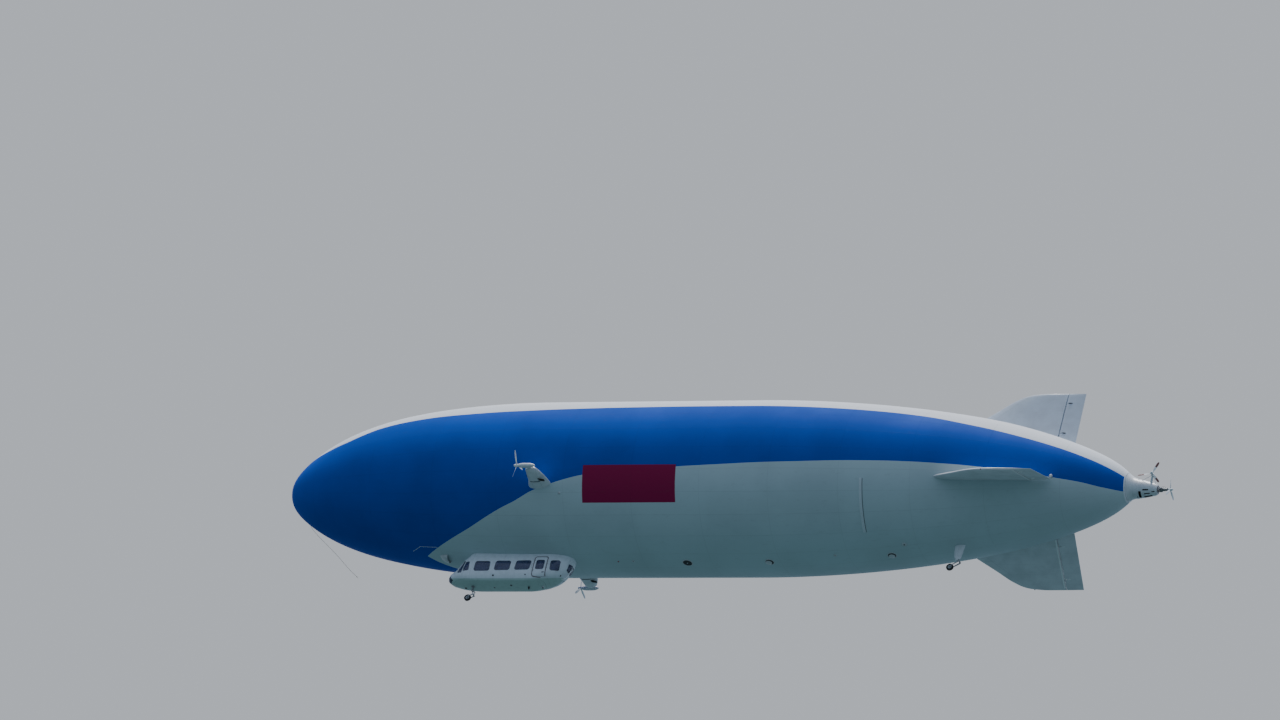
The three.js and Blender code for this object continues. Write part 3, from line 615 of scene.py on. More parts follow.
# The surroundings' light from below to above: height as a share, colour
SKY = (
    (0.0, (0.1, 0.18, 0.21)), (0.38, (0.16, 0.27, 0.33)), (0.5, (0.36, 0.45, 0.58)),
    (0.75, (0.6, 0.74, 1.0)), (1.0, (0.75, 0.85, 1.0)),
)


class BuildStage(bpy.types.Operator):
    """Place the camera, the pale floor far below and the soft light"""

    bl_idname = "airship.build_stage"
    bl_label = "Stage"

    def execute(self, context):
        sizes = context.scene.airship_stage
        scene = context.scene
        camera = bpy.data.objects.new("camera", bpy.data.cameras.new("camera"))
        right = Vector((0.93121324, 0.29775496, 0.21019961))
        up = Vector((0.01176305, -0.60097108, 0.79918421))
        back = Vector((0.36428495, -0.74173833, -0.56313473))
        turn = Matrix((right, up, back)).transposed().to_4x4()
        camera.matrix_world = Matrix.Translation((116.9108, -245.1823, -179.5892)) @ turn
        camera.data.sensor_width = 36
        camera.data.lens = 228.063
        camera.data.clip_start = 1
        camera.data.clip_end = 3000
        scene.collection.objects.link(camera)
        scene.camera = camera

        finish = Finish("floor_paint", Roughness=0.9)
        finish.colour(finish.stain((0.74, 0.74, 0.73), finish.noise(0.05), 0.3, 0.7, (0.8, 0.8, 0.79)))
        clear = finish.node("ShaderNodeBsdfTransparent").outputs[0]
        under = finish.node("ShaderNodeNewGeometry").outputs["Backfacing"]
        inputs = {0: under, 1: finish.shader.outputs[0], 2: clear}
        both = finish.node("ShaderNodeMixShader", inputs).outputs[0]
        finish.tree.links.new(both, finish.tree.nodes["Material Output"].inputs["Surface"])
        reach = sizes.floor
        rim = [(math.cos(t) * reach, math.sin(t) * reach, STAGE_Z) for t in around(96)]
        ground = Shape().add(rim, [tuple(range(96))]).mesh("floor")
        if ground.polygons[0].normal.z < 0:
            ground.flip_normals()
        disc = bpy.data.objects.new("floor", ground)
        disc.data.materials.append(finish.material)
        scene.collection.objects.link(disc)
        disc.visible_diffuse = False
        disc.visible_glossy = False

        key = bpy.data.lights.new("key_light", "SUN")
        key.energy = sizes.sun
        key.angle = math.radians(25)
        key.color = (1.0, 0.985, 0.96)
        lamp = bpy.data.objects.new("key_light", key)
        lamp.rotation_euler = Vector((-0.1, -0.12, 1.0)).to_track_quat("Z", "Y").to_euler()
        scene.collection.objects.link(lamp)

        world = bpy.data.worlds.new("surroundings")
        world.use_nodes = True
        tree = world.node_tree
        place = tree.nodes.new("ShaderNodeTexCoord").outputs["Generated"]
        height = link_nodes(tree, "ShaderNodeSeparateXYZ", {0: place}).outputs["Z"]
        share = link_nodes(tree, "ShaderNodeMapRange", {"Value": height, "From Min": -1.0}).outputs[0]
        light = link_nodes(tree, "ShaderNodeValToRGB", {0: share})
        while len(light.color_ramp.elements) < len(SKY):
            light.color_ramp.elements.new(0.5)
        for element, (at, colour) in zip(light.color_ramp.elements, SKY):
            element.position = at
            element.color = (*colour, 1)
        seen = tree.nodes.new("ShaderNodeLightPath").outputs["Is Camera Ray"]
        inputs = {0: seen, 6: light.outputs[0], 7: (0.66, 0.7, 0.76, 1)}
        blend = link_nodes(tree, "ShaderNodeMix", inputs, data_type="RGBA")
        tree.links.new(blend.outputs[2], tree.nodes["Background"].inputs["Color"])
        tree.nodes["Background"].inputs["Strength"].default_value = sizes.fill
        scene.world = world
        return {"FINISHED"}


# Route of the handling line, x and z on the plane y = 1, as in the part's source
LINE_ROUTE = [
    (1.5, -2.4), (1.7, -2.76), (2.1, -3.24), (3.65, -4.68), (5.19, -6.1), (6.25, -7.14), (7.04, -7.82),
]


class BuildHandlingLine(bpy.types.Operator):
    """Make the line that trails from the nose, with its knot"""

    bl_idname = "airship.build_line"
    bl_label = "Handling Line"

    def execute(self, context):
        diameter = context.scene.airship_line.diameter
        finish = Finish("line_fibre", Roughness=0.85, Sheen_Weight=0.25)
        twist = finish.node(
            "ShaderNodeTexWave",
            {"Vector": finish.place, "Scale": 60.0, "Distortion": 2.0},
            wave_type="BANDS",
            bands_direction="DIAGONAL",
        ).outputs["Fac"]
        finish.colour(finish.mix(twist, (0.2, 0.18, 0.15), (0.42, 0.39, 0.33))).bump(twist, 0.0015)
        path, length = curve_through([(x, 1.0, z) for x, z in LINE_ROUTE], 32)
        rope = Shape().tube(path, diameter / 2, 10)
        rope = place("nose_line", rope, [finish.material], "line_fibre", ["nose_rope"])
        # The knot: a trefoil drawn tight around the end of the line
        end = path[-1]
        along = (path[-1] - path[-2]).normalized()
        side = along.orthogonal().normalized()
        other = along.cross(side)
        loop = []
        for t in around(72):
            a = math.sin(t) + 2 * math.sin(2 * t)
            b = math.cos(t) - 2 * math.cos(2 * t)
            c = -math.sin(3 * t)
            loop.append(end - along * (0.007 - a * 0.0058) + side * (b * 0.0058) + other * (c * 0.0068))
        knot = Shape().tube(loop, diameter * 0.42, 8, closed=True)
        for lean, reach in ((0.35, 0.07), (-0.3, 0.045)):
            tail = []
            for s in np.linspace(0, 1, 6):
                tail.append(end + (along + side * lean) * (reach * s) - Vector((0, 0, reach * 0.5 * s * s)))
            knot.tube(tail, diameter * 0.34, 8)
        knot = place("nose_line_knot", knot, [finish.material], "line_fibre")
        tuple(path[0])
        [tuple(p) for p in path]
        return {"FINISHED"}


# Lower edge of the coloured flank: station and angle from the top, in degrees
FLANK_EDGE = [
    (11.0, 199), (12.5, 187), (13.3, 180), (13.5, 178), (14.87, 167.7), (16.49, 158.5), (18.0, 151.2),
    (19.5, 143.8), (20.9, 137.6), (22.3, 132.4), (23.6, 126.6), (24.9, 122.8), (26.2, 119.6), (27.9, 116.4),
    (29.6, 114.5), (33.0, 112.7), (36.4, 111.0), (39.7, 109.8), (43.1, 108.6), (46.4, 107.8), (50.5, 106.6),
    (54.5, 106.2), (58.5, 106.9), (62.4, 109.2), (67.0, 115.4), (68.5, 118.9), (69.9, 126.2), (70.6, 131.1),
    (71.07, 136.4), (71.5, 143.0),
]
# Edge of the white crown strip, in the same terms
CROWN_EDGE = [
    (0.3, 10), (1.0, 50), (1.9, 62), (3.0, 67), (4.0, 69), (5.5, 69), (6.9, 66), (8.6, 62.1), (10.4, 61.1),
    (13.1, 60.9), (17.2, 61.8), (21.1, 61.3), (24.9, 59.5), (28.7, 58.0), (36.4, 56.8), (44.1, 57.4),
    (51.7, 57.8), (55.4, 58.9), (59.2, 63.0), (62.9, 66.7), (66.6, 70.6), (69.3, 76.5), (70.7, 82.5),
    (71.5, 88.0),
]
PAINT_END = 71.48
PANEL_X = (28.05, 36.0)
PANEL_ANGLE = (109.8, 134.4)
# Cross seams of the cloth lie this far apart, in model metres
BAY = 2.9
NOSE_LEAD = 0.3
SKIN_WALL = 0.02


def hull_finish(sizes):
    """Coated cloth in the craft's colours, with gores, cross seams and weather stains. The belly's grey-green
    is painted shade and a painted reflection of the ground.
    """
    finish = Finish("hull_cloth", Specular_IOR_Level=0.03)
    x = finish.axis("X")
    angle = finish.math("ARCTAN2", finish.axis("Y"), finish.axis("Z"))
    away = finish.math("ABSOLUTE", angle)
    below = finish.math("SUBTRACT", away, finish.mark("flank_edge"))
    above = finish.math("SUBTRACT", finish.mark("crown_edge"), away)
    cloud = finish.noise(0.35, 5.0)
    flank = finish.stain(tuple(sizes.blue), cloud, 0.3, 0.7, darker(sizes.blue, 0.86))
    # Belly: painted shade and a painted reflection of the ground on white cloth
    lower = finish.stain(tuple(sizes.belly), cloud, 0.3, 0.72, darker(sizes.belly, 0.9))
    white = tuple(sizes.white)
    soft = 0.002
    paint = finish.mix(finish.ramp(below, -soft, soft), flank, lower)
    paint = finish.stain(paint, above, -soft, soft, white)
    tail = model_x(PAINT_END)
    paint = finish.stain(paint, x, tail - soft, tail + soft, white)
    along = finish.between(x, *(model_x(v) for v in PANEL_X), soft)
    across = finish.between(away, *(math.radians(v) for v in PANEL_ANGLE), soft / 2)
    paint = finish.mix(finish.times(along, across), paint, tuple(sizes.panel))
    # Gores with their lap seams, and cross seams
    gore = finish.line(finish.math("FRACT", finish.times(angle, sizes.gores / (2 * math.pi))), 0.5, 0.012)
    bay = finish.math("FRACT", finish.times(finish.math("ADD", x, 17.0), 1 / BAY))
    seams = finish.most([gore, finish.line(bay, 0.5, 0.004)])
    paint = finish.mix(finish.times(seams, 0.1), paint, (0.03, 0.035, 0.04))
    streak = finish.noise(9.0, 4.0, stretch=(0.35, 1, 1))
    paint = finish.stain(paint, streak, 0.55, 0.8, (0.13, 0.12, 0.1), 0.09)
    finish.colour(paint).rough(cloud, 0.5, 0.62).bump(seams, 0.004, 0.6)
    finish.bump(finish.weave(0.012), 0.0004, 0.35)
    return finish.material


class BuildHull(bpy.types.Operator):
    """Skin the long round hull and its rounded nose"""

    bl_idname = "airship.build_hull"
    bl_label = "Hull"

    def execute(self, context):
        sizes = context.scene.airship_hull
        n = sizes.sides
        stations = np.concatenate([
            NOSE_LEAD + 13 * np.linspace(0, 1, 44)[:-1] ** 1.7,
            np.linspace(13.3, 52, 66)[:-1],
            HULL_END - 19.2 * np.linspace(1, 0, 50) ** 1.25,
            np.linspace(71.25, CLOTH_END, 7),
        ])
        radius = hull_radius(stations)
        slope = np.gradient(radius, stations)
        rows = list(zip(stations, radius))
        last = len(stations) - 1
        for k in range(last, -1, -4):
            length = math.hypot(1, slope[k])
            inner = float(np.clip(stations[k] + slope[k] / length * SKIN_WALL, NOSE_LEAD, CLOTH_END))
            rows.append((stations[k] if k in (0, last) else inner, radius[k] - SKIN_WALL / length))
        rows.append(rows[0])
        marks = {}
        for name, table in (("flank_edge", FLANK_EDGE), ("crown_edge", CROWN_EDGE)):
            marks[name] = np.repeat(np.radians(table_curve(table)([x for x, _ in rows])), n)
        rings = [ring_x(x, float(hull_middle(x)), r, n) for x, r in rows]
        hull = Shape().rings(rings, caps=False, marks=marks)
        place("hull_skin", hull, [hull_finish(sizes)], "hull_fabric", ["envelope"], crease=60)

        cap = Shape()
        rim = float(hull_radius(NOSE_LEAD))
        rows = [(0.0, 0.0), (0.16, 0.004), (0.41, 0.03), (0.74, 0.1), (0.997, 0.2), (rim, 0.299)]
        reach = table_curve(rows)
        loop = [(float(reach(r)), r) for r in np.linspace(rim, 0.09, 30)]
        loop += [(0.1, 0.09), (0.14, 0.6), (0.299, rim - 0.03)]
        cap.rings([ring_x(x, float(hull_middle(x)), r, 72) for x, r in loop + loop[:1]], caps=False)
        low = float(hull_middle(0))
        bolt_x = float(reach(0.9)) - 0.004
        for t in around(24):
            at = (bolt_x, 0.9 * math.sin(t), low + 0.9 * math.cos(t))
            cap.turned([(0, 0.009), (0.004, 0.008), (0.006, 0.004)], at, (-1, 0, 0), 10)
        gloss = painted("nose_paint", tuple(sizes.blue), coat=0.3)
        place("nose_cone", cap, [gloss], "hull_fabric", ["nose_cap"])
        cup = Shape()
        rows = [
            (0.08, 0.12), (0.045, 0.125), (0.02, 0.1), (-0.01, 0.072),
            (-0.028, 0.07), (-0.036, 0.055), (-0.036, 0.03), (0.0, 0.028),
        ]
        cup.turned([(d * SCALE, r * SCALE) for d, r in rows], (0, 0, low), (1, 0, 0), 40)
        for t in around(8):
            at = (0.022, 0.085 * math.sin(t), low + 0.085 * math.cos(t))
            cup.turned([(0, 0.006), (0.004, 0.006), (0.005, 0.004)], at, (-1, 0, 0), 6)
        place("mooring_coupling", cup, [metal("mooring_steel", (0.45, 0.46, 0.47), 0.32)], "machined")
        return {"FINISHED"}


# Fins: distance from the hull axis, leading edge, greatest half thickness, half thickness at the hinge
FIN_ROWS = [
    (3.6, 54.21, 0.3, 0.17), (5.85, 57.15, 0.28, 0.145), (7.5, 59.3, 0.22, 0.12),
    (8.57, 60.7, 0.17, 0.1), (9.02, 61.76, 0.13, 0.085), (FIN_TIP, 62.8, 0.06, 0.05),
]
# Section: share of the chord, share of the greatest half thickness
FIN_SECTION = [(0, 0), (0.015, 0.3), (0.06, 0.58), (0.16, 0.85), (0.36, 1), (0.65, 0.86), (1, 0.62)]
BRACKETS = (5.21, 8.18)
# Inner end of a control surface: stations and distances from the hull axis
SURFACE_ROOT = ((64.74, 66.3), (4.45, 3.98))
SURFACE_BODIES = {"top": "rudder_top", "port": "elevator_port", "stbd": "elevator_stbd"}


def section_curve(section):
    """Half thickness over the root of the chord's share, which spreads the points at the front edge."""
    return table_curve([(math.sqrt(u), h) for u, h in section])


FIN_LEAD, FIN_THICK, FIN_HINGE = (table_curve(FIN_ROWS, k) for k in (1, 2, 3))
FIN_FORM = section_curve(FIN_SECTION)


def fin_place(clock):
    """Turns a station, a distance from the axis and a side step into a point of one fin."""
    t = math.radians(clock)
    shift = LOWER_FIN_SHIFT if clock else 0.0

    def point(x, r, s):
        return model_point(x + shift, -r * math.sin(t) + s * math.cos(t), r * math.cos(t) + s * math.sin(t))

    return point


def fin_paint(name, colour):
    """White laminate with fine panel joints, fine grain and rain streaks."""
    finish = Finish(name, Coat_Weight=0.15, Coat_Roughness=0.25)
    cloud = finish.noise(1.6, 5.0)
    tone = finish.stain(colour, cloud, 0.35, 0.7, darker(colour, 0.86))
    bays = finish.math("FRACT", finish.times(finish.mark("fin_reach"), 1 / 0.9))
    lines = finish.most([finish.line(bays, 0.5, 0.006), finish.line(finish.mark("fin_chord"), 0.17, 0.004)])
    tone = finish.mix(finish.times(lines, 0.22), tone, (0.12, 0.13, 0.14))
    streak = finish.noise(5.0, 4.0, stretch=(0.25, 1, 1))
    tone = finish.stain(tone, streak, 0.55, 0.8, (0.16, 0.15, 0.13), 0.1)
    finish.colour(tone).rough(cloud, 0.32, 0.46).bump(lines, -0.0015, 0.6)
    finish.bump(finish.noise(140.0, 2.0), 0.0003, 0.4)
    return finish.material


def fin_skin(point):
    """The fixed part of a fin as far as its hinge line, with the two hinge lugs."""
    rings = []
    marks = {"fin_reach": [], "fin_chord": []}
    for r in rounded_steps(3.6, 8.5, FIN_TIP, 30, 14):
        start = float(FIN_LEAD(r))
        end = HINGE_X - float(FIN_HINGE(r)) - HINGE_GAP
        most = float(FIN_THICK(r))
        widen = float(FIN_HINGE(r)) / most - FIN_SECTION[-1][1]
        half = []
        for q in np.linspace(0, 1, 30):
            u = q * q
            h = float(FIN_FORM(q)) + widen * max(0.0, 2 * u - 1)
            half.append((start + (end - start) * u, min(h, 1.0) * most, u))
        ring = half + [(x, -h, u) for x, h, u in reversed(half[1:])]
        rings.append([point(x, r, h) for x, h, _ in ring])
        marks["fin_reach"] += [r] * len(ring)
        marks["fin_chord"] += [u for _, _, u in ring]
    fin = Shape().rings(rings, marks=marks)
    for r in BRACKETS:
        h = float(FIN_HINGE(r))
        lug = 0.55 * h
        outline = [(HINGE_X + lug * math.cos(t), lug * math.sin(t)) for t in arc(-math.pi / 2, 14)]
        outline += [(HINGE_X - h - 0.1, lug), (HINGE_X - h - 0.1, -lug)]
        fin.rings([[point(x, r + dr, s) for x, s in outline] for dr in (-0.028, 0.028)], finish=1)
    return fin


def surface_half(h, x):
    """Half thickness of a control surface at a station, from its half thickness at the hinge."""
    return h + (TRAIL_HALF - h) * (x - HINGE_X) / (FIN_TRAIL - HINGE_X)


def control_skin(point):
    """A control surface with its round front edge, cut open around the hinge lugs."""
    rings = []
    marks = {"fin_reach": [], "fin_chord": []}
    for v in rounded_steps(0, 0.9, 1, 26, 9):
        h = float(FIN_HINGE(4.3 + (FIN_TIP - 4.3) * v))
        front = [(HINGE_X + h * math.cos(t), h * math.sin(t)) for t in arc(math.pi / 2, 16)]
        xs = HINGE_X + (FIN_TRAIL - HINGE_X) * np.linspace(0, 1, 9)[1:]
        back = [(x, surface_half(h, x)) for x in xs]
        ring = []
        for x, s in front + [(x, -s) for x, s in back] + back[::-1]:
            base = np.interp(x, *SURFACE_ROOT)
            r = base + (FIN_TIP - base) * v
            ring.append(point(x, r, s))
            marks["fin_reach"].append(r)
            marks["fin_chord"].append(0.4 + 0.5 * (x - HINGE_X))
        rings.append(ring)
    cutters = []
    corners = [(HINGE_X - 0.3, -0.4), (HINGE_X + 0.1, -0.4), (HINGE_X + 0.1, 0.4), (HINGE_X - 0.3, 0.4)]
    for r in BRACKETS:
        cutters.append(Shape().rings([[point(x, r + dr, s) for x, s in corners] for dr in (-0.045, 0.045)]))
    return combined(Shape().rings(rings, marks=marks), cutters)


def hinge_fairings(point):
    """Swelling fairings behind the hinge brackets, with a pin in each bracket."""
    horns = Shape()
    for r in BRACKETS:
        h = float(FIN_HINGE(r))
        pin = [(d * SCALE, 0.03 * SCALE) for d in (-0.05, 0.05)]
        horns.turned(pin, point(HINGE_X, r, 0), point(0, 1, 0) - point(0, 0, 0), 16)
        for sign in (-1, 1):
            rings = []
            for q in np.linspace(0, 1, 12):
                x = HINGE_X + 0.1 + 0.36 * q
                foot = surface_half(h, x) - 0.015
                swell = math.sin(math.pi * min(1.0, 0.06 + 0.94 * q)) ** 0.7 * (1 - 0.35 * q)
                ring = []
                for t in arc(0, 12):
                    up = foot + 0.09 * swell * math.sin(t)
                    ring.append(point(x, r + 0.065 * swell * math.cos(t), sign * up))
                rings.append(ring)
            horns.rings(rings)
    return horns


def hinge_seals(point):
    """Sealing strips ahead of the hinge line, on both sides of a fin."""
    seals = Shape()
    for sign in (-1, 1):
        rings = []
        for r in np.linspace(4.6, 8.95, 30):
            h = float(FIN_HINGE(r))
            end = HINGE_X - h - HINGE_GAP
            profile = ((-0.14, -0.004), (0, -0.004), (0, 0.01), (-0.02, 0.014), (-0.14, 0.012))
            rings.append([point(end + dx, r, sign * (h + up)) for dx, up in profile])
        seals.rings(rings)
    return seals


class BuildFins(bpy.types.Operator):
    """Shape the three fins, their control surfaces and hinge fairings"""

    bl_idname = "airship.build_fins"
    bl_label = "Fins"

    def execute(self, context):
        laminate = fin_paint("fin_laminate", tuple(context.scene.airship_hull.white))
        # The top fin's blue-grey is painted shade on its white laminate, also on its hinge seals
        top_fin_painted_shade = fin_paint("top_fin_laminate_painted_shade", (0.5, 0.56, 0.65))
        # Whiter than the fins on the lugs, the lower fins' hinge fairings and their seals: white paint
        # brightened into a painted highlight of light through the hinge gap
        trim = painted("hinge_white_and_painted_highlight", (0.95, 0.95, 0.95), grime=0.04, coat=0.2)
        # Near-black hinge fairings on the top fin: painted shade at its hinge
        dark = painted("top_hinge_painted_shade", (0.03, 0.032, 0.035), rough=(0.6, 0.8))
        for side, clock in FIN_CLOCKS.items():
            point = fin_place(clock)
            # The top fin takes painted shade on its skin, hinge fairings and seals; the lower fins take the
            # brightened white
            skin, cover, strip = (laminate, trim, trim) if clock else (top_fin_painted_shade, dark, top_fin_painted_shade)
            body = SURFACE_BODIES[side]
            place("fin_skin_" + side, fin_skin(point), [skin, trim], "fin_skin", ["fin_" + side])
            nodes = ["control_surface_" + side]
            place("control_skin_" + side, control_skin(point), [skin, trim], "fin_skin", nodes, body)
            place("hinge_fairings_" + side, hinge_fairings(point), [cover], "fin_skin", body=body)
            place("hinge_seals_" + side, hinge_seals(point), [strip], "fin_skin")
        return {"FINISHED"}


# Stern nacelle: station, height of the middle, radius
NACELLE = [
    (72.4006, -0.23, 0.77), (72.7, -0.24, 0.73), (73.1, -0.26, 0.65),
    (73.5, -0.28, 0.56), (73.9, -0.31, 0.45), (74.0, -0.32, 0.36),
]
NACELLE_MIDDLE = table_curve(NACELLE, 1)
NACELLE_RADIUS = table_curve(NACELLE, 2)
# Openings in the stern nacelle: first and last station, first and last angle from the top towards port
SLOTS = [
    (72.56, 72.76, 138, 196), (72.9, 73.36, 124, 134), (73.0, 73.46, 154, 164),
    (73.6, 73.84, 142, 152), (72.36, 72.47, 178, 190), (72.95, 73.6, 180, 222),
]


def hollow_body(rows, steps, wall, finish=0):
    """A thin-walled body of round sections along X, open at both ends."""
    height = table_curve(rows, 1)
    radius = table_curve(rows, 2)
    xs = np.linspace(rows[0][0], rows[-1][0], steps)
    outer = [ring_x(x, float(height(x)), float(radius(x)), 72) for x in xs]
    inner = [ring_x(x, float(height(x)), float(radius(x)) - wall, 72) for x in xs[::-1]]
    return Shape().rings(outer + inner + outer[:1], finish, caps=False)


def sector(x0, x1, t0, t1, middle, low, high):
    """A block of a ring about the X direction, between two stations, two angles and two radii."""
    rings = []
    for t in np.radians(np.linspace(t0, t1, 10)):
        corners = ((x0, low), (x1, low), (x1, high), (x0, high))
        rings.append([(x, -r * math.sin(t), middle + r * math.cos(t)) for x, r in corners])
    return Shape().rings(rings)


def fairing_paint(name, colour, joints):
    """Gloss white laminate with panel joints at given stations, and soot."""
    finish = Finish(name, Coat_Weight=0.25, Coat_Roughness=0.2)
    cloud = finish.noise(4.0, 5.0)
    tone = finish.stain(colour, cloud, 0.35, 0.7, darker(colour, 0.88))
    x = finish.axis("X")
    lines = finish.most([finish.line(x, model_x(joint), 0.0025) for joint in joints])
    tone = finish.mix(finish.times(lines, 0.5), tone, (0.06, 0.06, 0.065))
    tone = finish.stain(tone, finish.noise(30.0, 3.0), 0.58, 0.78, (0.12, 0.11, 0.1), 0.14)
    finish.colour(tone).rough(cloud, 0.25, 0.42).bump(lines, -0.001, 0.8)
    finish.bump(finish.noise(170.0, 2.0), 0.0003, 0.4)
    return finish.material


def smooth_metal():
    return metal("shaft_steel", (0.5, 0.51, 0.52), 0.25)


class BuildStern(bpy.types.Operator):
    """Make the stern fairing, engine nacelle, tilting gearbox and outrigger"""

    bl_idname = "airship.build_stern"
    bl_label = "Stern"

    def execute(self, context):
        white = tuple(context.scene.airship_hull.white)
        paint = fairing_paint("stern_laminate", white, (71.7, 72.1, 72.46, 73.5, 73.88))
        dark = metal("engine_bay_dark", (0.1, 0.1, 0.105), 0.6, brushed=False)
        shade = painted("joint_shade", (0.03, 0.032, 0.034), rough=(0.6, 0.8))
        steel = smooth_metal()
        cast = metal("gearbox_casting", (0.3, 0.31, 0.32), 0.45, brushed=False)

        def fairing_rows(stations, inset=0.0):
            return [(x, float(FAIRING_MIDDLE(x)), float(FAIRING_RADIUS(x)) - inset) for x in stations]

        fairing = hollow_body(fairing_rows((71.6, 71.7, 71.8, 71.95, 72.1, 72.25, 72.399)), 30, 0.02)
        fairing.join(hollow_body(fairing_rows((71.5, 71.6, 71.7), 0.03), 6, 0.012, 1))
        x, z, r = fairing_rows((71.65,))[0]
        for t in around(40):
            way = (0.6, math.sin(t), math.cos(t))
            fairing.turned([(-0.004, 0.006), (0.003, 0.005)], (x, r * way[1], z + r * way[2]), way, 8)
        place("stern_fairing_skin", fairing, [paint, shade], "fairing_white", ["stern_fairing"])
        cutters = [sector(*slot, -0.27, 0.35, 0.95) for slot in SLOTS]
        nacelle = combined(hollow_body(NACELLE, 34, 0.02), cutters)
        place("stern_nacelle_skin", nacelle, [paint], "fairing_white", ["stern_nacelle"])

        # Fork of the tilting gearbox, and cooling fins in the nacelle's outlet
        fork = Shape()
        px, _, pz = STERN_PIVOT
        for y, way, outside in ((-0.23, -1, -0.23), (0.18, 1, 0.23)):
            outline = [(px + 0.1 * math.cos(t), pz + 0.1 * math.sin(t)) for t in arc(-math.pi / 2, 18)]
            outline += [(73.93, -0.2), (73.93, -0.4)]
            fork.rings([[(x, side, z) for x, z in outline] for side in (y, y + 0.05)])
            centre = model_point(px, outside, pz)
            fork.turned([(0, 0.035), (0.008, 0.035), (0.012, 0.028)], centre, (0, way, 0), 24, 1)
            fork.bolts(centre + Vector((0, way * 0.001, 0)), (0, way, 0), 0.042, 6, 0.004, 1)
        fork.turned([(-0.004, 0.19), (0.012, 0.19), (0.014, 0.186)], (73.96, 0, -0.32), (1, 0, 0), 48)
        for x in np.linspace(73.0, 73.55, 8):
            r = float(NACELLE_RADIUS(x))
            fork.join(sector(x, x + 0.025, 181, 221, float(NACELLE_MIDDLE(x)), r - 0.09, r - 0.01))
        place("stern_fork", fork, [cast, steel], "machined")
        baffle = Shape()
        baffle.turned([(0, 0.1), (0.0, 0.3), (0.01, 0.3), (0.01, 0.1)], (72.5, 0, -0.28), (1, 0, 0), 40)
        baffle.turned([(0, 0.2), (0.2, 0.21), (0.45, 0.17), (0.62, 0.12)], (72.55, 0, -0.3), (1, 0, 0), 32)
        for i in range(9):
            baffle.turned([(0, 0.225), (0.008, 0.225)], (72.65 + 0.07 * i, 0, -0.3), (1, 0, 0), 32)
        place("stern_transmission", baffle, [dark], "engine_casting")

        gear = Shape()
        pivot = model_point(*STERN_PIVOT)

        def from_pivot(x, y, z):
            """A point given by its distances from the pivot, in model metres."""
            return pivot + Vector((x, y, z))

        rows = [(-0.075, 0.06), (-0.07, 0.072), (-0.05, 0.075), (0.05, 0.075), (0.07, 0.072), (0.075, 0.06)]
        gear.turned(rows, pivot, (0, 1, 0), 48)
        neck = table_curve([(0.0, 0.06), (0.12, 0.066), (0.2, 0.056), (0.28, 0.05)])
        gear.turned([(d, float(neck(d))) for d in np.linspace(0, 0.275, 20)], pivot, (1, 0, 0), 40)
        gear.turned([(0.255, 0.062), (0.27, 0.064), (0.275, 0.06)], pivot, (1, 0, 0), 40)
        gear.bolts(from_pivot(0.2555, 0, 0), (-1, 0, 0), 0.057, 10, 0.0045, 1)
        for sign in (-1, 1):
            gear.bolts(from_pivot(0, sign * 0.072, 0), (0, sign, 0), 0.05, 8, 0.0045, 1)
        for t in around(6):
            way = Vector((0, math.sin(t + 0.3), math.cos(t + 0.3)))
            rib = [from_pivot(d, 0, 0) + way * (float(neck(d)) + 0.001) for d in np.linspace(0.07, 0.25, 8)]
            gear.tube(rib, 0.006, 8)
        gear.rod(from_pivot(0, -0.13, 0), from_pivot(0, 0.13, 0), 0.0195, 24, 1)
        hose = [
            (0.02, -0.05, 0.06), (0.05, -0.06, 0.085), (0.12, -0.05, 0.09),
            (0.18, -0.03, 0.07), (0.2, -0.02, 0.05),
        ]
        gear.bent([from_pivot(*p) for p in hose], 16, 0.006, 10, 2)
        place("stern_gearbox_body", gear, [cast, steel, dark], "machined", ["stern_gearbox"], "tilt_gearbox")

        arm = Shape()
        lx, ly, lz = LATERAL_HUB
        foot = model_point(73.42, -0.3, 0.02)
        way = model_point(lx, ly + 0.26, lz) - foot
        swell = table_curve([(0, 0.085), (0.12, 0.062), (0.5, 0.05), (1, 0.045)])
        arm.turned([(way.length * q, float(swell(q))) for q in np.linspace(0, 1, 16)], foot, way, 32)
        head = (lx, ly + 0.36, lz)
        rows = [(0, 0.056), (0.006, 0.064), (0.1, 0.065), (0.112, 0.06), (0.12, 0.045)]
        arm.turned(rows, head, (0, -1, 0), 40)
        arm.bolts(head, (0, 1, 0), 0.045, 8, 0.0045, 1)
        for start, dx, r in (((72.45, -0.5, 0.06), -0.03, 0.011), ((73.85, -0.12, -0.02), 0.03, 0.01)):
            end = model_point(lx + dx, ly + 0.28, lz + 0.03)
            a = model_point(*start)
            arm.rod(a, end, r)
            d = (end - a).normalized()
            arm.turned([(0.0, r * 1.5), (0.03, r * 1.5), (0.04, r)], a + d * 0.03, d, 16, 1)
            arm.turned([(0.0, r), (0.01, r * 1.5), (0.04, r * 1.5)], end - d * 0.09, d, 16, 1)
        place("lateral_outrigger", arm, [paint, steel], "fairing_white", ["lateral_arm"])
        return {"FINISHED"}


class PropellerSettings(bpy.types.PropertyGroup):
    """Colours of the propellers."""

    blade: FloatVectorProperty(
        name="Blade Colour", description="Painted blades", default=(0.92, 0.93, 0.94), subtype="COLOR", size=3
    )
    tip: FloatVectorProperty(
        name="Tip Colour", description="Warning bands", default=(0.16, 0.045, 0.035), subtype="COLOR", size=3
    )


# Section of a blade: share of the chord from the middle, share of the thickness
BLADE_SECTION = [
    (-0.5, 0.0), (-0.485, 0.16), (-0.43, 0.31), (-0.3, 0.46), (-0.1, 0.5), (0.1, 0.44), (0.3, 0.27),
    (0.5, 0.05), (0.5, -0.05), (0.3, -0.22), (0.1, -0.36), (-0.1, -0.42), (-0.3, -0.42), (-0.43, -0.28),
    (-0.485, -0.14),
]
BAND_START = 0.55
SPINNER = table_curve([(0, 1), (0.35, 0.93), (0.7, 0.66), (0.92, 0.33), (1.0, 0.02)])
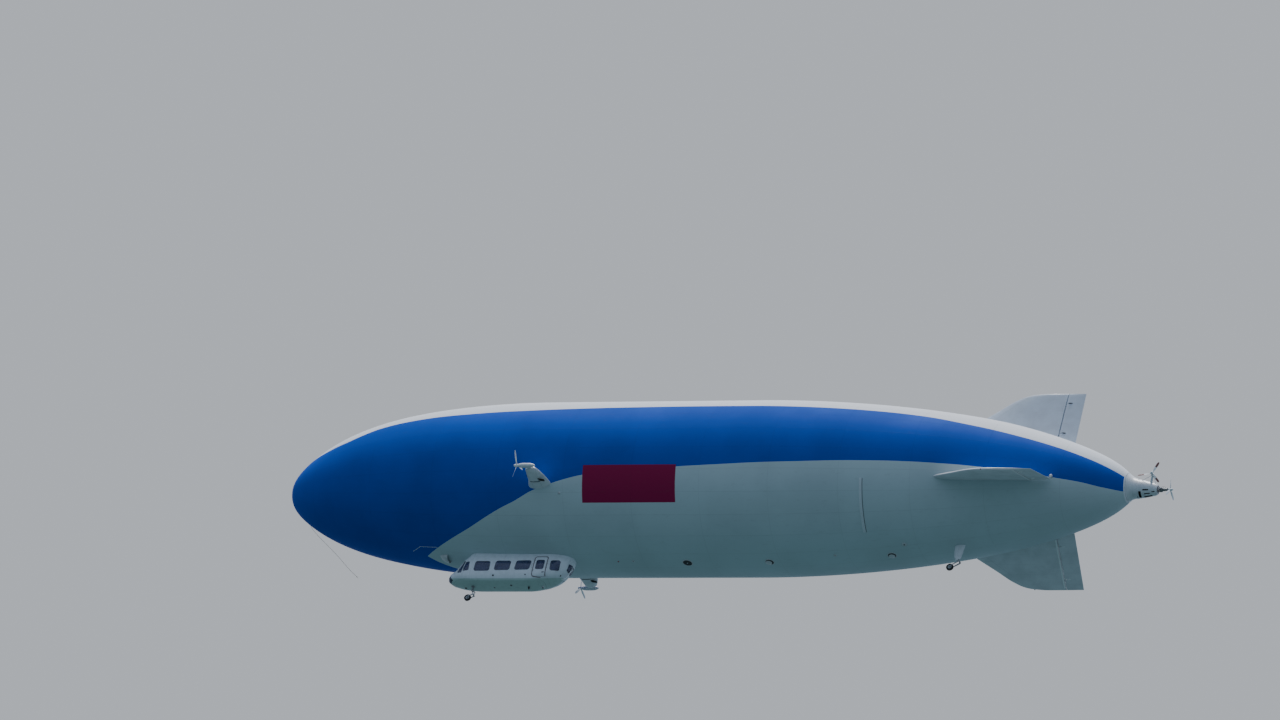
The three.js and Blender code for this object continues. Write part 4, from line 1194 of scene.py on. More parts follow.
# Propellers: name, body, node, hub, axis, direction of angle 0, radius, blade angles, hub radius,
# depth behind the blades, length of the spinner, whether it is mirrored, whether its blades are banded
PROPELLERS = (
    ("side_propeller_stbd", "side_rotor_stbd", "propeller_stbd", (23.22, *POD_PIVOT[1:]),
     (-1, 0, 0), (0, 1, 0), 1.3, (6, -114, 126), 0.13, 0.17, 0.16, "stbd", False),
    ("side_propeller_port", "side_rotor_port", "propeller_port", (23.22, *POD_PIVOT[1:]),
     (-1, 0, 0), (0, 1, 0), 1.3, (-158, -38, 82), 0.13, 0.17, 0.16, "port", False),
    ("pusher_propeller", "pusher_rotor", "stern_propeller", (75.0, 0, -0.3),
     (1, 0, 0), (0, 1, 0), 1.2, (114, -9, 234), 0.11, 0.17, 0.14, "stbd", False),
    ("lateral_fan", "lateral_rotor", "lateral_propeller", LATERAL_HUB,
     (0, -1, 0), (1, 0, 0), 1.15, (70, 190, 310), 0.1, 0.1, 0.12, "stbd", True),
)


def propeller_shape(hub, axis, zero, radius, angles, hub_radius, hub_back, tip):
    """Three twisted blades with cuffs, a round hub, a spinner and its bolts."""
    shape = Shape()
    centre = model_point(*hub)
    axis = Vector(axis)
    zero = Vector(zero)
    other = axis.cross(zero)

    def rows(*pairs):
        """Rows of a turned body, from distances in full-size metres and shares of the hub's radius."""
        return [(d * SCALE, share * hub_radius * SCALE) for d, share in pairs]

    front = [(0.1 + tip * q, float(SPINNER(q))) for q in np.linspace(0, 1, 16)]
    drum = [(-hub_back, 0.86), (0.012 - hub_back, 1), (0.088, 1), (0.092, 0.97), (0.098, 0.97)]
    shape.turned(rows(*drum, *front), centre, axis, 40)
    shaft = 0.033 * SCALE
    shape.turned([(-(hub_back + 0.12) * SCALE, shaft), (-hub_back * SCALE, shaft)], centre, axis, 20, 1)
    shape.turned(rows((-hub_back - 0.012, 0.7), (0.004 - hub_back, 0.72)), centre, axis, 32, 1)
    back = centre - axis * ((hub_back + 0.011) * SCALE)
    shape.bolts(back, -axis, hub_radius * 0.52 * SCALE, 6, 0.011 * SCALE, 1)
    shape.bolts(centre + axis * (0.094 * SCALE), axis, hub_radius * 0.985 * SCALE, 9, 0.005 * SCALE, 1)
    spans = [0.5 * hub_radius, 0.24 * radius, 0.45 * radius, 0.8 * radius, 0.93 * radius, radius]
    chord = smooth_curve(spans, [0.085, 0.12, 0.18, 0.18, 0.14, 0.07])
    thick = smooth_curve(spans, [0.07, 0.045, 0.028, 0.017, 0.012, 0.007])
    pitch = smooth_curve(spans, [0.95, 0.8, 0.52, 0.32, 0.28, 0.25])
    bend = 0.9 * radius
    for t in np.radians(angles):
        span = zero * math.cos(t) + other * math.sin(t)
        side = axis.cross(span)
        rings = []
        marks = []
        for r in rounded_steps(spans[0], bend, radius, 22, 8):
            c = float(chord(r))
            h = float(thick(r))
            p = float(pitch(r))
            if r > bend:
                c *= math.sqrt(max(0.05, 1 - ((r / radius - 0.9) / 0.102) ** 2)) * 0.9 + 0.1
            ring = []
            for a, b in BLADE_SECTION:
                u = a * c * math.cos(p) - b * h * math.sin(p)
                w = a * c * math.sin(p) + b * h * math.cos(p)
                ring.append(centre + (span * r + side * u + axis * w) * SCALE)
                marks.append(r / radius)
            rings.append(ring)
        shape.rings(rings, marks={"blade_reach": marks})
        # Cuff where the blade enters the hub
        cuff = ((-0.01, 0.052), (0.03, 0.052), (0.045, 0.044), (0.06, 0.036))
        root = centre + span * (hub_radius * 0.9 * SCALE)
        shape.turned([(d * SCALE, r * SCALE) for d, r in cuff], root, span, 20, 1)
    return shape


def blade_paint(name, colour, tip=None):
    """Painted composite blades, banded from the middle outwards where a tip colour is given, and worn."""
    finish = Finish(name, Coat_Weight=0.3, Coat_Roughness=0.15)
    cloud = finish.noise(16.0, 4.0)
    tone = finish.stain(colour, cloud, 0.35, 0.7, darker(colour, 0.85))
    if tip:
        tone = finish.stain(tone, finish.mark("blade_reach"), BAND_START - 0.004, BAND_START + 0.004, tip)
    tone = finish.stain(tone, finish.noise(80.0, 3.0), 0.6, 0.75, (0.2, 0.2, 0.2), 0.3)
    finish.colour(tone).rough(cloud, 0.25, 0.4).bump(finish.noise(200.0, 2.0), 0.0002, 0.4)
    return finish.material


class BuildPropellers(bpy.types.Operator):
    """Shape the four propellers with their spinners"""

    bl_idname = "airship.build_propellers"
    bl_label = "Propellers"

    def execute(self, context):
        sizes = context.scene.airship_propellers
        plain = blade_paint("blade_gloss", tuple(sizes.blade))
        banded = blade_paint("blade_banded", tuple(sizes.blade), tuple(sizes.tip))
        steel = metal("hub_steel", (0.46, 0.47, 0.48), 0.3)
        for name, body, node, *form, side, bands in PROPELLERS:
            skin = banded if bands else plain
            place(name, propeller_shape(*form).on(side), [skin, steel], "blade_white", [node], body)
        return {"FINISHED"}


# Side nacelles: side step, leading edge, trailing edge, half thickness
STUB_ROWS = [
    (5.4, 23.3, 25.45, 0.37), (6.1, 23.46, 25.34, 0.36), (6.7, 23.64, 25.24, 0.35),
    (7.3, 23.74, 25.08, 0.335), (7.9, 23.82, 24.82, 0.28), (8.1, 23.9, 24.68, 0.2), (8.15, 24.0, 24.5, 0.12),
]
STUB_LEAD, STUB_TRAIL, STUB_HALF = (table_curve(STUB_ROWS, k) for k in (1, 2, 3))
STUB_SECTION = [(0, 0.1), (0.03, 0.5), (0.12, 0.85), (0.32, 1), (0.6, 0.94), (0.85, 0.6), (1, 0.16)]
STUB_FORM = section_curve(STUB_SECTION)
POD_FORM = table_curve([(23.42, 0.15), (23.55, 0.18), (23.8, 0.2), (24.3, 0.195), (24.6, 0.14), (24.8, 0.04)])
POD_ROOT = 8.166
POD_NECK = table_curve([(POD_ROOT, 0.135), (8.2, 0.15), (8.3, 0.15), (8.43, 0.16)])


def nacelle_skin(grow, y_end):
    """The side nacelle's outer form, grown by a distance in full-size metres."""
    rings = []
    for y in rounded_steps(5.5, 7.9, y_end, 26, 9):
        a = float(STUB_LEAD(y)) - grow
        b = float(STUB_TRAIL(y)) + grow
        h = float(STUB_HALF(y)) + grow
        half = [(a + (b - a) * q * q, h * float(STUB_FORM(q))) for q in np.linspace(0, 1, 24)]
        rings.append([(x, y, STUB_Z + s) for x, s in half] + [(x, y, STUB_Z - s) for x, s in reversed(half)])
    return Shape().rings(rings)


class BuildNacelles(bpy.types.Operator):
    """Shape the two side nacelles and their tilting pods"""

    bl_idname = "airship.build_nacelles"
    bl_label = "Side Nacelles and Pods"

    def execute(self, context):
        white = tuple(context.scene.airship_hull.white)
        paint = fairing_paint("nacelle_laminate", white, (23.98, 24.7))
        pod_paint = fairing_paint("pod_laminate", white, (23.6, 24.42))
        dark = metal("exhaust_dark", (0.09, 0.085, 0.08), 0.55, brushed=False)
        steel = smooth_metal()
        px, py, pz = POD_PIVOT
        for side in ("stbd", "port"):
            cutters = [
                nacelle_skin(-0.02, 8.13),
                Shape().block((23.85, 6.66, -4.4), (24.8, 6.76, -4.0), 0.015),
                Shape().block((24.0, 7.36, -3.5), (24.34, 7.46, -3.2), 0.012),
                Shape().rod((px, 8.0, pz), (px, 8.4, pz), 0.0405, 32),
            ]
            skin = combined(nacelle_skin(0, 8.15).on(side), [cutter.on(side) for cutter in cutters])
            place("nacelle_skin_" + side, skin, [paint], "fairing_white", ["nacelle_" + side])
            # Exhausts, louvres and the air intake's lip
            parts = Shape()
            for y in (6.9, 7.06):
                pipe = [(24.5, y, -3.95), (24.7, y, -4.02), (24.95, y, -4.08), (25.2, y, -4.1)]
                parts.bent(pipe, 14, 0.022, 20)
            for k in range(5):
                x = 24.0 + 0.16 * k
                parts.block((x, 6.66, -4.08), (x + 0.02, 6.76, -4.03), 0.002, 1)
            x = float(STUB_LEAD(7.0)) + 0.005
            intake = []
            for t in around(28):
                intake.append(model_point(x, 7.0 + 0.26 * math.cos(t), STUB_Z + 0.085 * math.sin(t)))
            parts.tube(intake, 0.012, 10, closed=True)
            parts.rings([[p + Vector((d, 0, 0)) for p in intake] for d in (0.004, 0.03)])
            place("nacelle_fittings_" + side, parts.on(side), [dark, steel], "engine_casting")

            pod = Shape()
            rows = [((x - px) * SCALE, float(POD_FORM(x)) * SCALE) for x in np.linspace(23.42, 24.76, 36)]
            pod.turned(rows + [(0.3, 0.012)], POD_PIVOT, (1, 0, 0), 48)
            root = (px, POD_ROOT, pz)
            ys = np.linspace(POD_ROOT, py, 12)
            rows = [((y - POD_ROOT) * SCALE, float(POD_NECK(y)) * SCALE) for y in ys]
            pod.turned(rows, root, (0, 1, 0), 40)
            pod.rod((px, 8.06, pz), POD_PIVOT, 0.0395, 28, 1)
            pod.bolts(root, (0, -1, 0), 0.055, 10, 0.004, 1)
            for t in around(12):
                way = (0, math.sin(t), math.cos(t))
                at = (23.6, py + 0.188 * way[1], pz + 0.188 * way[2])
                pod.turned([(0, 0.003), (0.002, 0.0028)], at, way, 8, 1)
            finishes = [pod_paint, steel]
            nodes = ["pod_" + side]
            place("pod_skin_" + side, pod.on(side), finishes, "fairing_white", nodes, "tilt_pod_" + side)
        cast = metal("engine_block", (0.22, 0.225, 0.23), 0.5, brushed=False)
        dress(("engine_stbd", "engine_port", "stern_engine"), cast)
        return {"FINISHED"}


# Gondola levels from the belly up: height, half width, nose station, length of the nose curve, tail station,
# length of the tail curve, share of the wall by which the inside rises
CABIN_LEVELS = [
    (-9.56, 0.47, 18.2, 1.0, 22.9, 0.9, 1.0), (-9.5, 0.77, 17.2, 1.6, 23.6, 1.0, 1.0),
    (-9.4, 0.88, 16.48, 1.9, 24.1, 1.15, 0.9), (-9.25, 0.97, 16.02, 2.0, 24.6, 1.3, 0.6),
    (-9.05, 1.05, 15.81, 2.0, 25.15, 1.5, 0.3), (-8.85, 1.09, 15.8, 1.95, 25.5, 1.6, 0.0),
    (-8.5, 1.118, 16.2, 1.45, 25.85, 1.8, 0.0), (-8.15, 1.125, 16.42, 1.4, 26.05, 1.95, 0.0),
    (-7.7, 1.11, 16.64, 1.3, 26.2, 2.05, 0.0), (-7.25, 1.03, 16.93, 1.12, 26.32, 2.1, 0.0),
    (-6.6, 0.86, 17.3, 1.0, 26.4, 2.1, 0.0),
]
# Windows: corners as (station or side step, height)
SIDE_WINDOWS = [
    [(18.2, -8.75), (19.55, -8.74), (19.48, -7.83), (18.22, -7.83)],
    [(19.95, -8.69), (21.27, -8.68), (21.29, -7.8), (20.0, -7.8)],
    [(21.71, -8.67), (22.98, -8.63), (23.06, -7.76), (21.77, -7.79)],
]
PILOT_WINDOW = [(17.24, -8.74), (17.74, -8.68), (17.68, -7.86), (17.38, -7.86)]
CORNER_WINDOW = [(16.78, -8.83), (17.13, -8.86), (17.28, -7.74), (17.12, -7.7)]
AFT_WINDOW = [(24.74, -8.66), (25.45, -8.57), (25.47, -7.66), (24.7, -7.76)]
DOOR_WINDOW = [(23.5, -8.61), (24.2, -8.61), (24.2, -7.72), (23.5, -7.72)]
SCREEN_WINDOW = [(0.05, -8.5), (0.66, -8.5), (0.55, -7.5), (0.05, -7.46)]
CHIN_WINDOW = [(0.07, -9.29), (0.5, -9.27), (0.6, -8.98), (0.07, -8.98)]
TAIL_WINDOW = [(0.05, -8.3), (0.4, -8.26), (0.5, -7.74), (0.05, -7.64)]
CUT_SIDES = (0.2, 1.5)


def level_curves():
    """Every measure of the gondola's levels as a smooth curve of one running number."""
    table = np.array(CABIN_LEVELS)
    run = run_length(table[:, :3] * (1, 1, 0.4))
    return run, [smooth_curve(run, table[:, k]) for k in range(7)]


LEVEL_RUN, LEVELS = level_curves()
FINE_RUN = np.linspace(0, LEVEL_RUN[-1], 600)
FINE_Z = LEVELS[0](FINE_RUN)


def level_at(z):
    """Half width, nose station, nose length, tail station and tail length of the gondola at a height."""
    run = np.interp(z, FINE_Z, FINE_RUN)
    return [float(curve(run)) for curve in LEVELS[1:6]]


def cabin_y(x, z):
    """Half width of the gondola at a station and height."""
    w, x0, nose, x1, tail = level_at(z)
    if x < x0 + nose:
        c = 1 - max(0.0, (x - x0) / nose)
        return w * math.sqrt(max(0.0, 1 - c * c))
    if x > x1 - tail:
        c = 1 - max(0.0, (x1 - x) / tail)
        return w * max(0.0, 1 - c * c) ** 0.375
    return w


def cabin_front(y, z):
    w, x0, nose, _, _ = level_at(z)
    return x0 + nose * (1 - math.sqrt(max(0.0, 1 - (y / w) ** 2)))


def cabin_rear(y, z):
    w, _, _, x1, tail = level_at(z)
    s = min(1.0, abs(y) / w) ** (1 / 0.75)
    return x1 - tail * (1 - math.sqrt(max(0.0, 1 - s * s)))


def cabin_body(by):
    """The gondola's outer form, moved inwards by a distance in full-size metres."""
    rings = []
    for run in np.linspace(0, LEVEL_RUN[-1], 58):
        z, w, x0, nose, x1, tail, rise = (float(curve(run)) for curve in LEVELS)
        half = []
        for t in np.linspace(0, math.pi / 2, 26):
            half.append((x0 + by * 1.15 + nose * (1 - math.cos(t)), (w - by) * math.sin(t)))
        for t in np.linspace(math.pi / 2, 0, 20):
            half.append((x1 - by * 1.2 - tail * (1 - math.cos(t)), (w - by) * math.sin(t) ** 0.75))
        half += [(x, -y) for x, y in half[1:-1][::-1]]
        rings.append([(x, y, z + by * rise) for x, y in half])
    return Shape().rings(rings)


def hull_near_cabin(grow):
    """The hull's form over the gondola, grown by a distance in full-size metres."""
    return Shape().rings([ring_x(x, 0, float(hull_radius(x)) + grow, 120) for x in np.linspace(13, 30, 24)])


def neighbours(outline):
    """Every point of a closed outline as a Vector, with the one before and the one after it."""
    points = [Vector(p) for p in outline]
    return zip(points, points[-1:] + points[:-1], points[1:] + points[:1])


def rounded(corners, r, steps=7):
    """A four-sided outline with round corners."""
    out = []
    for p, before, after in neighbours(corners):
        a = (before - p).normalized()
        b = (after - p).normalized()
        half = math.acos(max(-1, min(1, a.dot(b)))) / 2
        reach = r / math.tan(half)
        c = p + (a + b).normalized() * (r / math.sin(half))
        s = p + a * reach - c
        e = p + b * reach - c
        t0 = math.atan2(s.y, s.x)
        dt = (math.atan2(e.y, e.x) - t0 + math.pi) % (2 * math.pi) - math.pi
        for k in range(steps + 1):
            t = t0 + dt * k / steps
            out.append((c.x + r * math.cos(t), c.y + r * math.sin(t)))
    return out


def denser(outline):
    """The outline with extra points on its long sides."""
    out = []
    for a, _, b in neighbours(outline):
        count = max(1, int((b - a).length / 0.06))
        out += [tuple(a + (b - a) * (k / count)) for k in range(count)]
    return out


def inset(outline, by):
    """The outline moved inwards by a distance, or outwards by one below 0."""
    area = sum(a.x * b.y - b.x * a.y for a, _, b in neighbours(outline))
    by = math.copysign(by, area * by)
    out = []
    for p, before, after in neighbours(outline):
        d = (after - before).normalized()
        out.append((p.x - d.y * by, p.y + d.x * by))
    return out


def on_side(depth=0.0):
    return lambda a, z: (a, cabin_y(a, z) - depth, z)


def on_front(depth=0.0):
    return lambda a, z: (cabin_front(a, z) + depth, a, z)


def on_rear(depth=0.0):
    return lambda a, z: (cabin_rear(a, z) - depth, a, z)


# Windows of each glazed group: corners, radius of the corners, surface
WINDOWS = {
    "side": [(outline, 0.18, on_side) for outline in SIDE_WINDOWS],
    "nose": [
        (PILOT_WINDOW, 0.08, on_side), (CORNER_WINDOW, 0.05, on_side),
        (SCREEN_WINDOW, 0.08, on_front), (CHIN_WINDOW, 0.06, on_front),
    ],
    "tail": [(AFT_WINDOW, 0.16, on_side), (TAIL_WINDOW, 0.06, on_rear)],
}
DOOR_PANE = (DOOR_WINDOW, 0.14, on_side)


def prism(outline, depths):
    """A prism across the gondola between two distances from its middle."""
    return Shape().rings([[(x, y, z) for x, z in outline] for y in depths])


def window_cutter(corners, r, surface):
    """A prism that cuts one window's opening."""
    outline = rounded(corners, r)
    if surface is on_side:
        return prism(outline, (0.6, 1.5) if corners is CORNER_WINDOW else CUT_SIDES)
    depths = (25.2, 27.0)
    if surface is on_front:
        depths = (15.4, 16.6 if corners is CHIN_WINDOW else 17.3)
    return Shape().rings([[(x, y, z) for y, z in outline] for x in depths])


def pane(corners, r, surface):
    """A curved pane that follows the gondola's skin, set slightly back in its opening."""
    gap = 0.0016
    outline = denser(inset(rounded(corners, r), gap))
    middle = np.mean(outline, axis=0)
    shares = np.linspace(0.02, 1, 9)
    rings = []
    for depth, order in ((0.003, shares), (0.015, shares[::-1])):
        where = surface(depth)
        for q in order:
            rings.append([where(*(middle + (np.array(p) - middle) * q)) for p in outline])
    return Shape().rings(rings)


def edge_line(corners, r, surface, grow, depth):
    """Points around an opening on the gondola's skin, grown by a distance."""
    where = surface(depth)
    return [where(a, z) for a, z in denser(inset(rounded(corners, r), -grow))]


class GondolaSettings(bpy.types.PropertyGroup):
    """Sizes and colours of the gondola."""

    shell: FloatVectorProperty(
        name="Shell Colour", description="Upper walls", default=(0.8, 0.83, 0.88), subtype="COLOR", size=3
    )
    # The pan colour is painted shade and a painted reflection of the ground on the gondola's downward-facing
    # walls
    pan: FloatVectorProperty(
        name="Belly Pan Colour", description="Lower walls", default=(0.5, 0.64, 0.6), subtype="COLOR", size=3
    )
    seal: FloatVectorProperty(
        name="Door Seal Colour",
        description="Edge of the doors",
        default=(0.1, 0.035, 0.04),
        subtype="COLOR",
        size=3,
    )
    wall: FloatProperty(
        name="Wall", description="Thickness of the shell", default=0.01, subtype="DISTANCE", unit="LENGTH"
    )


def door_outline(finish, low, high):
    """1 on a band around the door's edge, from low inside it to high outside it, in model metres."""
    r = DOOR_CORNER * SCALE
    square = 0.0
    across = (finish.axis("X"), *(model_x(x) for x in DOOR_X))
    upright = (finish.axis("Z"), *(z * SCALE for z in DOOR_Z))
    for value, start, end in (across, upright):
        far = finish.math("ABSOLUTE", finish.math("SUBTRACT", value, (start + end) / 2))
        past = finish.math("MAXIMUM", finish.math("SUBTRACT", far, (end - start) / 2 - r), 0.0)
        square = finish.math("ADD", finish.times(past, past), square)
    edge = finish.math("SUBTRACT", finish.math("SQRT", square), r)
    return finish.between(edge, low, high, 0.002)


def shell_paint(sizes):
    """Light satin paint with panel joints, door seals and rain marks. Its darker grey-green lower tone is
    painted shade and a painted reflection of the ground.
    """
    finish = Finish("gondola_paint", Coat_Weight=0.2, Coat_Roughness=0.25)
    cloud = finish.noise(5.0, 5.0)
    x = finish.axis("X")
    z = finish.axis("Z")
    # The lower tone is painted shade and a painted reflection of the ground on the underside; it follows the
    # underside, and so rises where the ends narrow
    out = finish.math("ABSOLUTE", finish.axis("Y"))
    height = finish.math("ADD", z, finish.times(out, 0.75))
    split = finish.ramp(height, (PAN_Z + 0.62) * SCALE, (PAN_Z + 0.71) * SCALE)
    tone = finish.mix(split, tuple(sizes.pan), tuple(sizes.shell))
    tone = finish.stain(tone, cloud, 0.4, 0.72, (0.2, 0.2, 0.2), 0.12)
    lines = []
    for station, strength in ((FRAME_NOSE, 1.0), (FRAME_TAIL, 1.0), (21.5, 0.35), (19.74, 0.35)):
        lines.append(finish.times(finish.line(x, model_x(station), 0.003), strength))
    lines = finish.most(lines + [finish.line(z, level * SCALE, 0.0022) for level in (PAN_Z, -7.3)])
    tone = finish.mix(finish.times(lines, 0.5), tone, (0.05, 0.05, 0.055))
    run = finish.noise(9.0, 4.0, stretch=(1, 1, 0.2))
    tone = finish.stain(tone, run, 0.56, 0.8, (0.1, 0.1, 0.09), 0.12)
    border = finish.times(door_outline(finish, -0.004, 0.02), finish.ramp(out, 0.4, 0.41))
    tone = finish.mix(finish.times(border, 0.75), tone, tuple(sizes.seal))
    finish.colour(tone).rough(cloud, 0.3, 0.45).bump(lines, -0.0012, 0.9)
    finish.bump(finish.noise(160.0, 2.0), 0.0003, 0.4)
    return finish.material


def leaf_finish(sizes):
    """The doors' paint with the seal's band along their edge."""
    finish = Finish("door_paint", Coat_Weight=0.2, Coat_Roughness=0.25)
    cloud = finish.noise(5.0, 5.0)
    tone = finish.stain(tuple(sizes.shell), cloud, 0.4, 0.72, (0.2, 0.2, 0.2), 0.12)
    tone = finish.mix(finish.times(door_outline(finish, -0.016, 0.004), 0.75), tone, tuple(sizes.seal))
    finish.colour(tone).rough(cloud, 0.3, 0.45).bump(finish.noise(160.0, 2.0), 0.0003, 0.4)
    return finish.material


def glass(name):
    """Tinted acrylic that lets the cabin be seen."""
    finish = Finish(name, Roughness=0.04, IOR=1.49, Specular_IOR_Level=0.7, Alpha=0.62)
    finish.colour(finish.stain((0.05, 0.065, 0.15), finish.noise(6.0, 3.0), 0.3, 0.75, (0.1, 0.12, 0.25)))
    return finish.material


class BuildGondola(bpy.types.Operator):
    """Form the gondola shell, its windows and its doors, with seals and joints"""

    bl_idname = "airship.build_gondola"
    bl_label = "Gondola"

    def execute(self, context):
        sizes = context.scene.airship_gondola
        wall = sizes.wall / SCALE
        clearance = 0.0007
        black = rubber("window_seal")
        trim = painted("window_frame", (0.62, 0.63, 0.63), coat=0.2)
        outer = combined(cabin_body(0.0), [hull_near_cabin(clearance)])
        inner = combined(cabin_body(wall), [hull_near_cabin(clearance + wall)])
        shell = combined(outer, [inner])
        windows = [window for group in WINDOWS.values() for window in group]
        (x0, x1), (z0, z1) = DOOR_X, DOOR_Z
        frame_line = rounded([(x0, z0), (x1, z0 + 0.04), (x1, z1), (x0, z1)], DOOR_CORNER, 9)
        cutters = [window_cutter(*window) for window in windows] + [prism(frame_line, CUT_SIDES)]
        made = combined(shell, [cutter.on(side) for cutter in cutters for side in ("stbd", "port")])
        nodes = ["gondola_nose", "gondola_cabin", "gondola_roof", "gondola_pan", "gondola_tail"]
        place("gondola_shell", made, [shell_paint(sizes)], "painted_shell", nodes, crease=40)

        beads = Shape()
        for window in windows:
            one = Shape().tube(edge_line(*window, 0.0, 0.004), 0.0055, 10, 0, closed=True)
            one.tube(edge_line(*window, 0.035, -0.001), 0.0045, 8, 1, 0.7, closed=True)
            beads.join(one).join(one.mirrored())
        place("window_beads", beads, [black, trim], "painted_shell")

        pane_glass = glass("cabin_glass")
        for side in ("stbd", "port"):
            panes = Shape()
            for window in WINDOWS["side"]:
                panes.join(pane(*window).on(side))
            place("side_panes_" + side, panes, [pane_glass], "pane", ["glass_side_" + side])
        for group in ("nose", "tail"):
            panes = Shape()
            for window in WINDOWS[group]:
                one = pane(*window)
                panes.join(one).join(one.mirrored())
            place(group + "_panes", panes, [pane_glass], "pane", ["glass_" + group])

        # Doors: leaf, seal, hinges, handle and pane
        leaf_paint = leaf_finish(sizes)
        line = rubber("door_seal", tuple(sizes.seal))
        steel = metal("door_hardware", (0.4, 0.4, 0.41), 0.35)
        leaf_line = prism(inset(frame_line, 0.016), CUT_SIDES)
        for side in ("stbd", "port"):
            body = "door_leaf_" + side
            leaf = combined(shell, [leaf_line.on(side)], "INTERSECT")
            leaf = combined(leaf, [window_cutter(*DOOR_PANE).on(side)])
            place("door_leaf_skin_" + side, leaf, [leaf_paint], "painted_shell", ["door_" + side], body, 40)
            parts = Shape()
            edge = [(x, cabin_y(x, z) - 0.001, z) for x, z in denser(inset(frame_line, 0.034))]
            parts.tube(edge, 0.0042, 8, closed=True)
            parts.tube(edge_line(*DOOR_PANE, 0.0, 0.004), 0.0055, 10, 1, closed=True)
            barrel = [(0, 0.006), (0.002, 0.007), (0.038, 0.007), (0.04, 0.006)]
            for z in (-8.7, -7.75):
                low = z - 0.035
                high = z + 0.035
                parts.turned(barrel, (x0 - 0.02, 1.1276, z - 0.04), (0, 0, 1), 20, 2)
                parts.block((x0 - 0.022, 1.1196, low), (x0 + 0.09, 1.1326, high), 0.002, 2)
                parts.block((x0 + 0.03, 1.08, low), (x0 + 0.09, 1.1276, high), 0.002, 2)
            y = cabin_y(24.2, -8.86)
            parts.block((24.1, y - 0.004, -8.91), (24.3, y + 0.008, -8.81), 0.002, 1)
            parts.block((24.12, y + 0.002, -8.875), (24.28, y + 0.02, -8.845), 0.004, 2)
            place("door_fittings_" + side, parts.on(side), [line, black, steel], "painted_shell", body=body)
            one = pane(*DOOR_PANE).on(side)
            place("door_pane_" + side, one, [pane_glass], "pane", ["glass_door_" + side], body)
        return {"FINISHED"}


def cushion(shape, centre, size, turn, seams):
    """A sewn cushion: crowned faces, sides drawn in between the corners, sunk seams and piping."""
    n = 16
    m = n + 1
    a, b, h = (v / 2 for v in size)
    grid = [math.sin((i / n - 0.5) * math.pi) for i in range(m)]
    corners = []
    for face in (1, -1):
        for u in grid:
            for v in grid:
                f = max(0.0, (1 - abs(u) ** 5) * (1 - abs(v) ** 5)) ** 0.42
                for seam in seams:
                    f *= 1 - 0.2 * math.exp(-(((u - seam) / 0.07) ** 2))
                crown = 1 + 0.1 * (1 - u * u) * (1 - v * v)
                x = a * u * (1 - 0.035 * (1 - v * v) * abs(u) ** 3)
                y = b * v * (1 - 0.035 * (1 - u * u) * abs(v) ** 3)
                corners.append(centre + turn @ Vector((x, y, face * h * (0.12 + 0.88 * f * crown))))
    faces = []
    for i in range(n):
        for j in range(n):
            k = i * m + j
            quad = (k, k + m, k + m + 1, k + 1)
            faces += [quad, tuple(v + m * m for v in reversed(quad))]
    rim = [i * m for i in range(m)] + [n * m + j for j in range(1, m)]
    rim += [i * m + n for i in range(n - 1, -1, -1)] + list(range(n - 1, 0, -1))
    for p, q in zip(rim, rim[1:] + rim[:1]):
        faces.append((q, p, p + m * m, q + m * m))
    shape.add(corners, faces)
    shape.tube([(corners[p] + corners[p + m * m]) / 2 for p in rim], h * 0.13, 6, closed=True)


def seat(soft, hard, x, y):
    """A seat: base and back cushions and a head pad on a moulded frame with arms and legs."""

    def here(dx, dy, dz):
        return model_point(x + dx, y + dy, SEAT_FOOT + dz)

    lean = Matrix.Rotation(math.radians(12), 3, "Y")
    upright = Matrix.Rotation(math.radians(78), 3, "Y")
    cushion(soft, here(0.21, 0, 0.375), (0.205, 0.19, 0.052), Matrix.Identity(3), (-0.35, 0.3))
    cushion(soft, here(0.485, 0, 0.68), (0.27, 0.19, 0.044), upright, (-0.3, 0.15))
    cushion(soft, here(0.545, 0, 0.955), (0.055, 0.12, 0.035), upright, ())
    hard.block(here(0.02, -0.185, 0.27), here(0.42, 0.185, 0.325), 0.008, 1)
    back = Shape().block(Vector((-0.012, -0.09, -0.15)), Vector((0.008, 0.09, 0.16)), 0.007)
    hard.add([here(0.525, 0, 0.68) + lean @ Vector(c) for c in back.corners], back.faces, 1)
    for way in (-1, 1):
        leg = way * 0.13
        arm = way * 0.195
        path = ((0.4, way * 0.19, 0.32), (0.46, arm, 0.52), (0.36, arm, 0.56), (0.1, arm, 0.56))
        hard.bent([here(*p) for p in path], 14, 0.009, 10, 1)
        for dx in (0.06, 0.36):
            hard.rod(here(dx, leg, 0.02), here(dx, way * 0.15, 0.28), 0.008, 12)
        hard.rod(here(0.03, leg, 0.02), here(0.42, leg, 0.02), 0.0075, 10)


PANEL_HALF = 0.46
# Section of the pilots' panel: station, height over the floor
PANEL_SECTION = [
    (16.52, 0.4), (16.58, 0.4), (16.72, 0.44), (16.74, 0.5), (16.68, 0.76), (16.6, 0.79), (16.52, 0.78),
    (16.49, 0.7),
]


def seat_cloth():
    """Dark blue woven cloth."""
    finish = Finish("seat_weave", Sheen_Weight=0.4, Sheen_Roughness=0.4)
    weave = finish.weave(0.0025)
    cloud = finish.noise(20.0, 4.0)
    tone = finish.stain((0.045, 0.065, 0.12), cloud, 0.3, 0.7, (0.065, 0.09, 0.155))
    finish.colour(finish.mix(finish.times(weave, 0.35), tone, (0.13, 0.15, 0.2)))
    finish.rough(cloud, 0.75, 0.9).bump(weave, 0.0005, 0.7)
    return finish.material


def carpet():
    """Dark grey pile with worn patches."""
    finish = Finish("cabin_carpet", Sheen_Weight=0.3)
    pile = finish.noise(500.0, 3.0)
    tone = finish.stain((0.05, 0.055, 0.065), pile, 0.3, 0.7, (0.1, 0.105, 0.12))
    finish.colour(finish.stain(tone, finish.noise(9.0, 4.0), 0.4, 0.7, (0.12, 0.11, 0.1), 0.3))
    finish.rough(pile, 0.85, 0.95).bump(pile, 0.001, 0.8)
    return finish.material


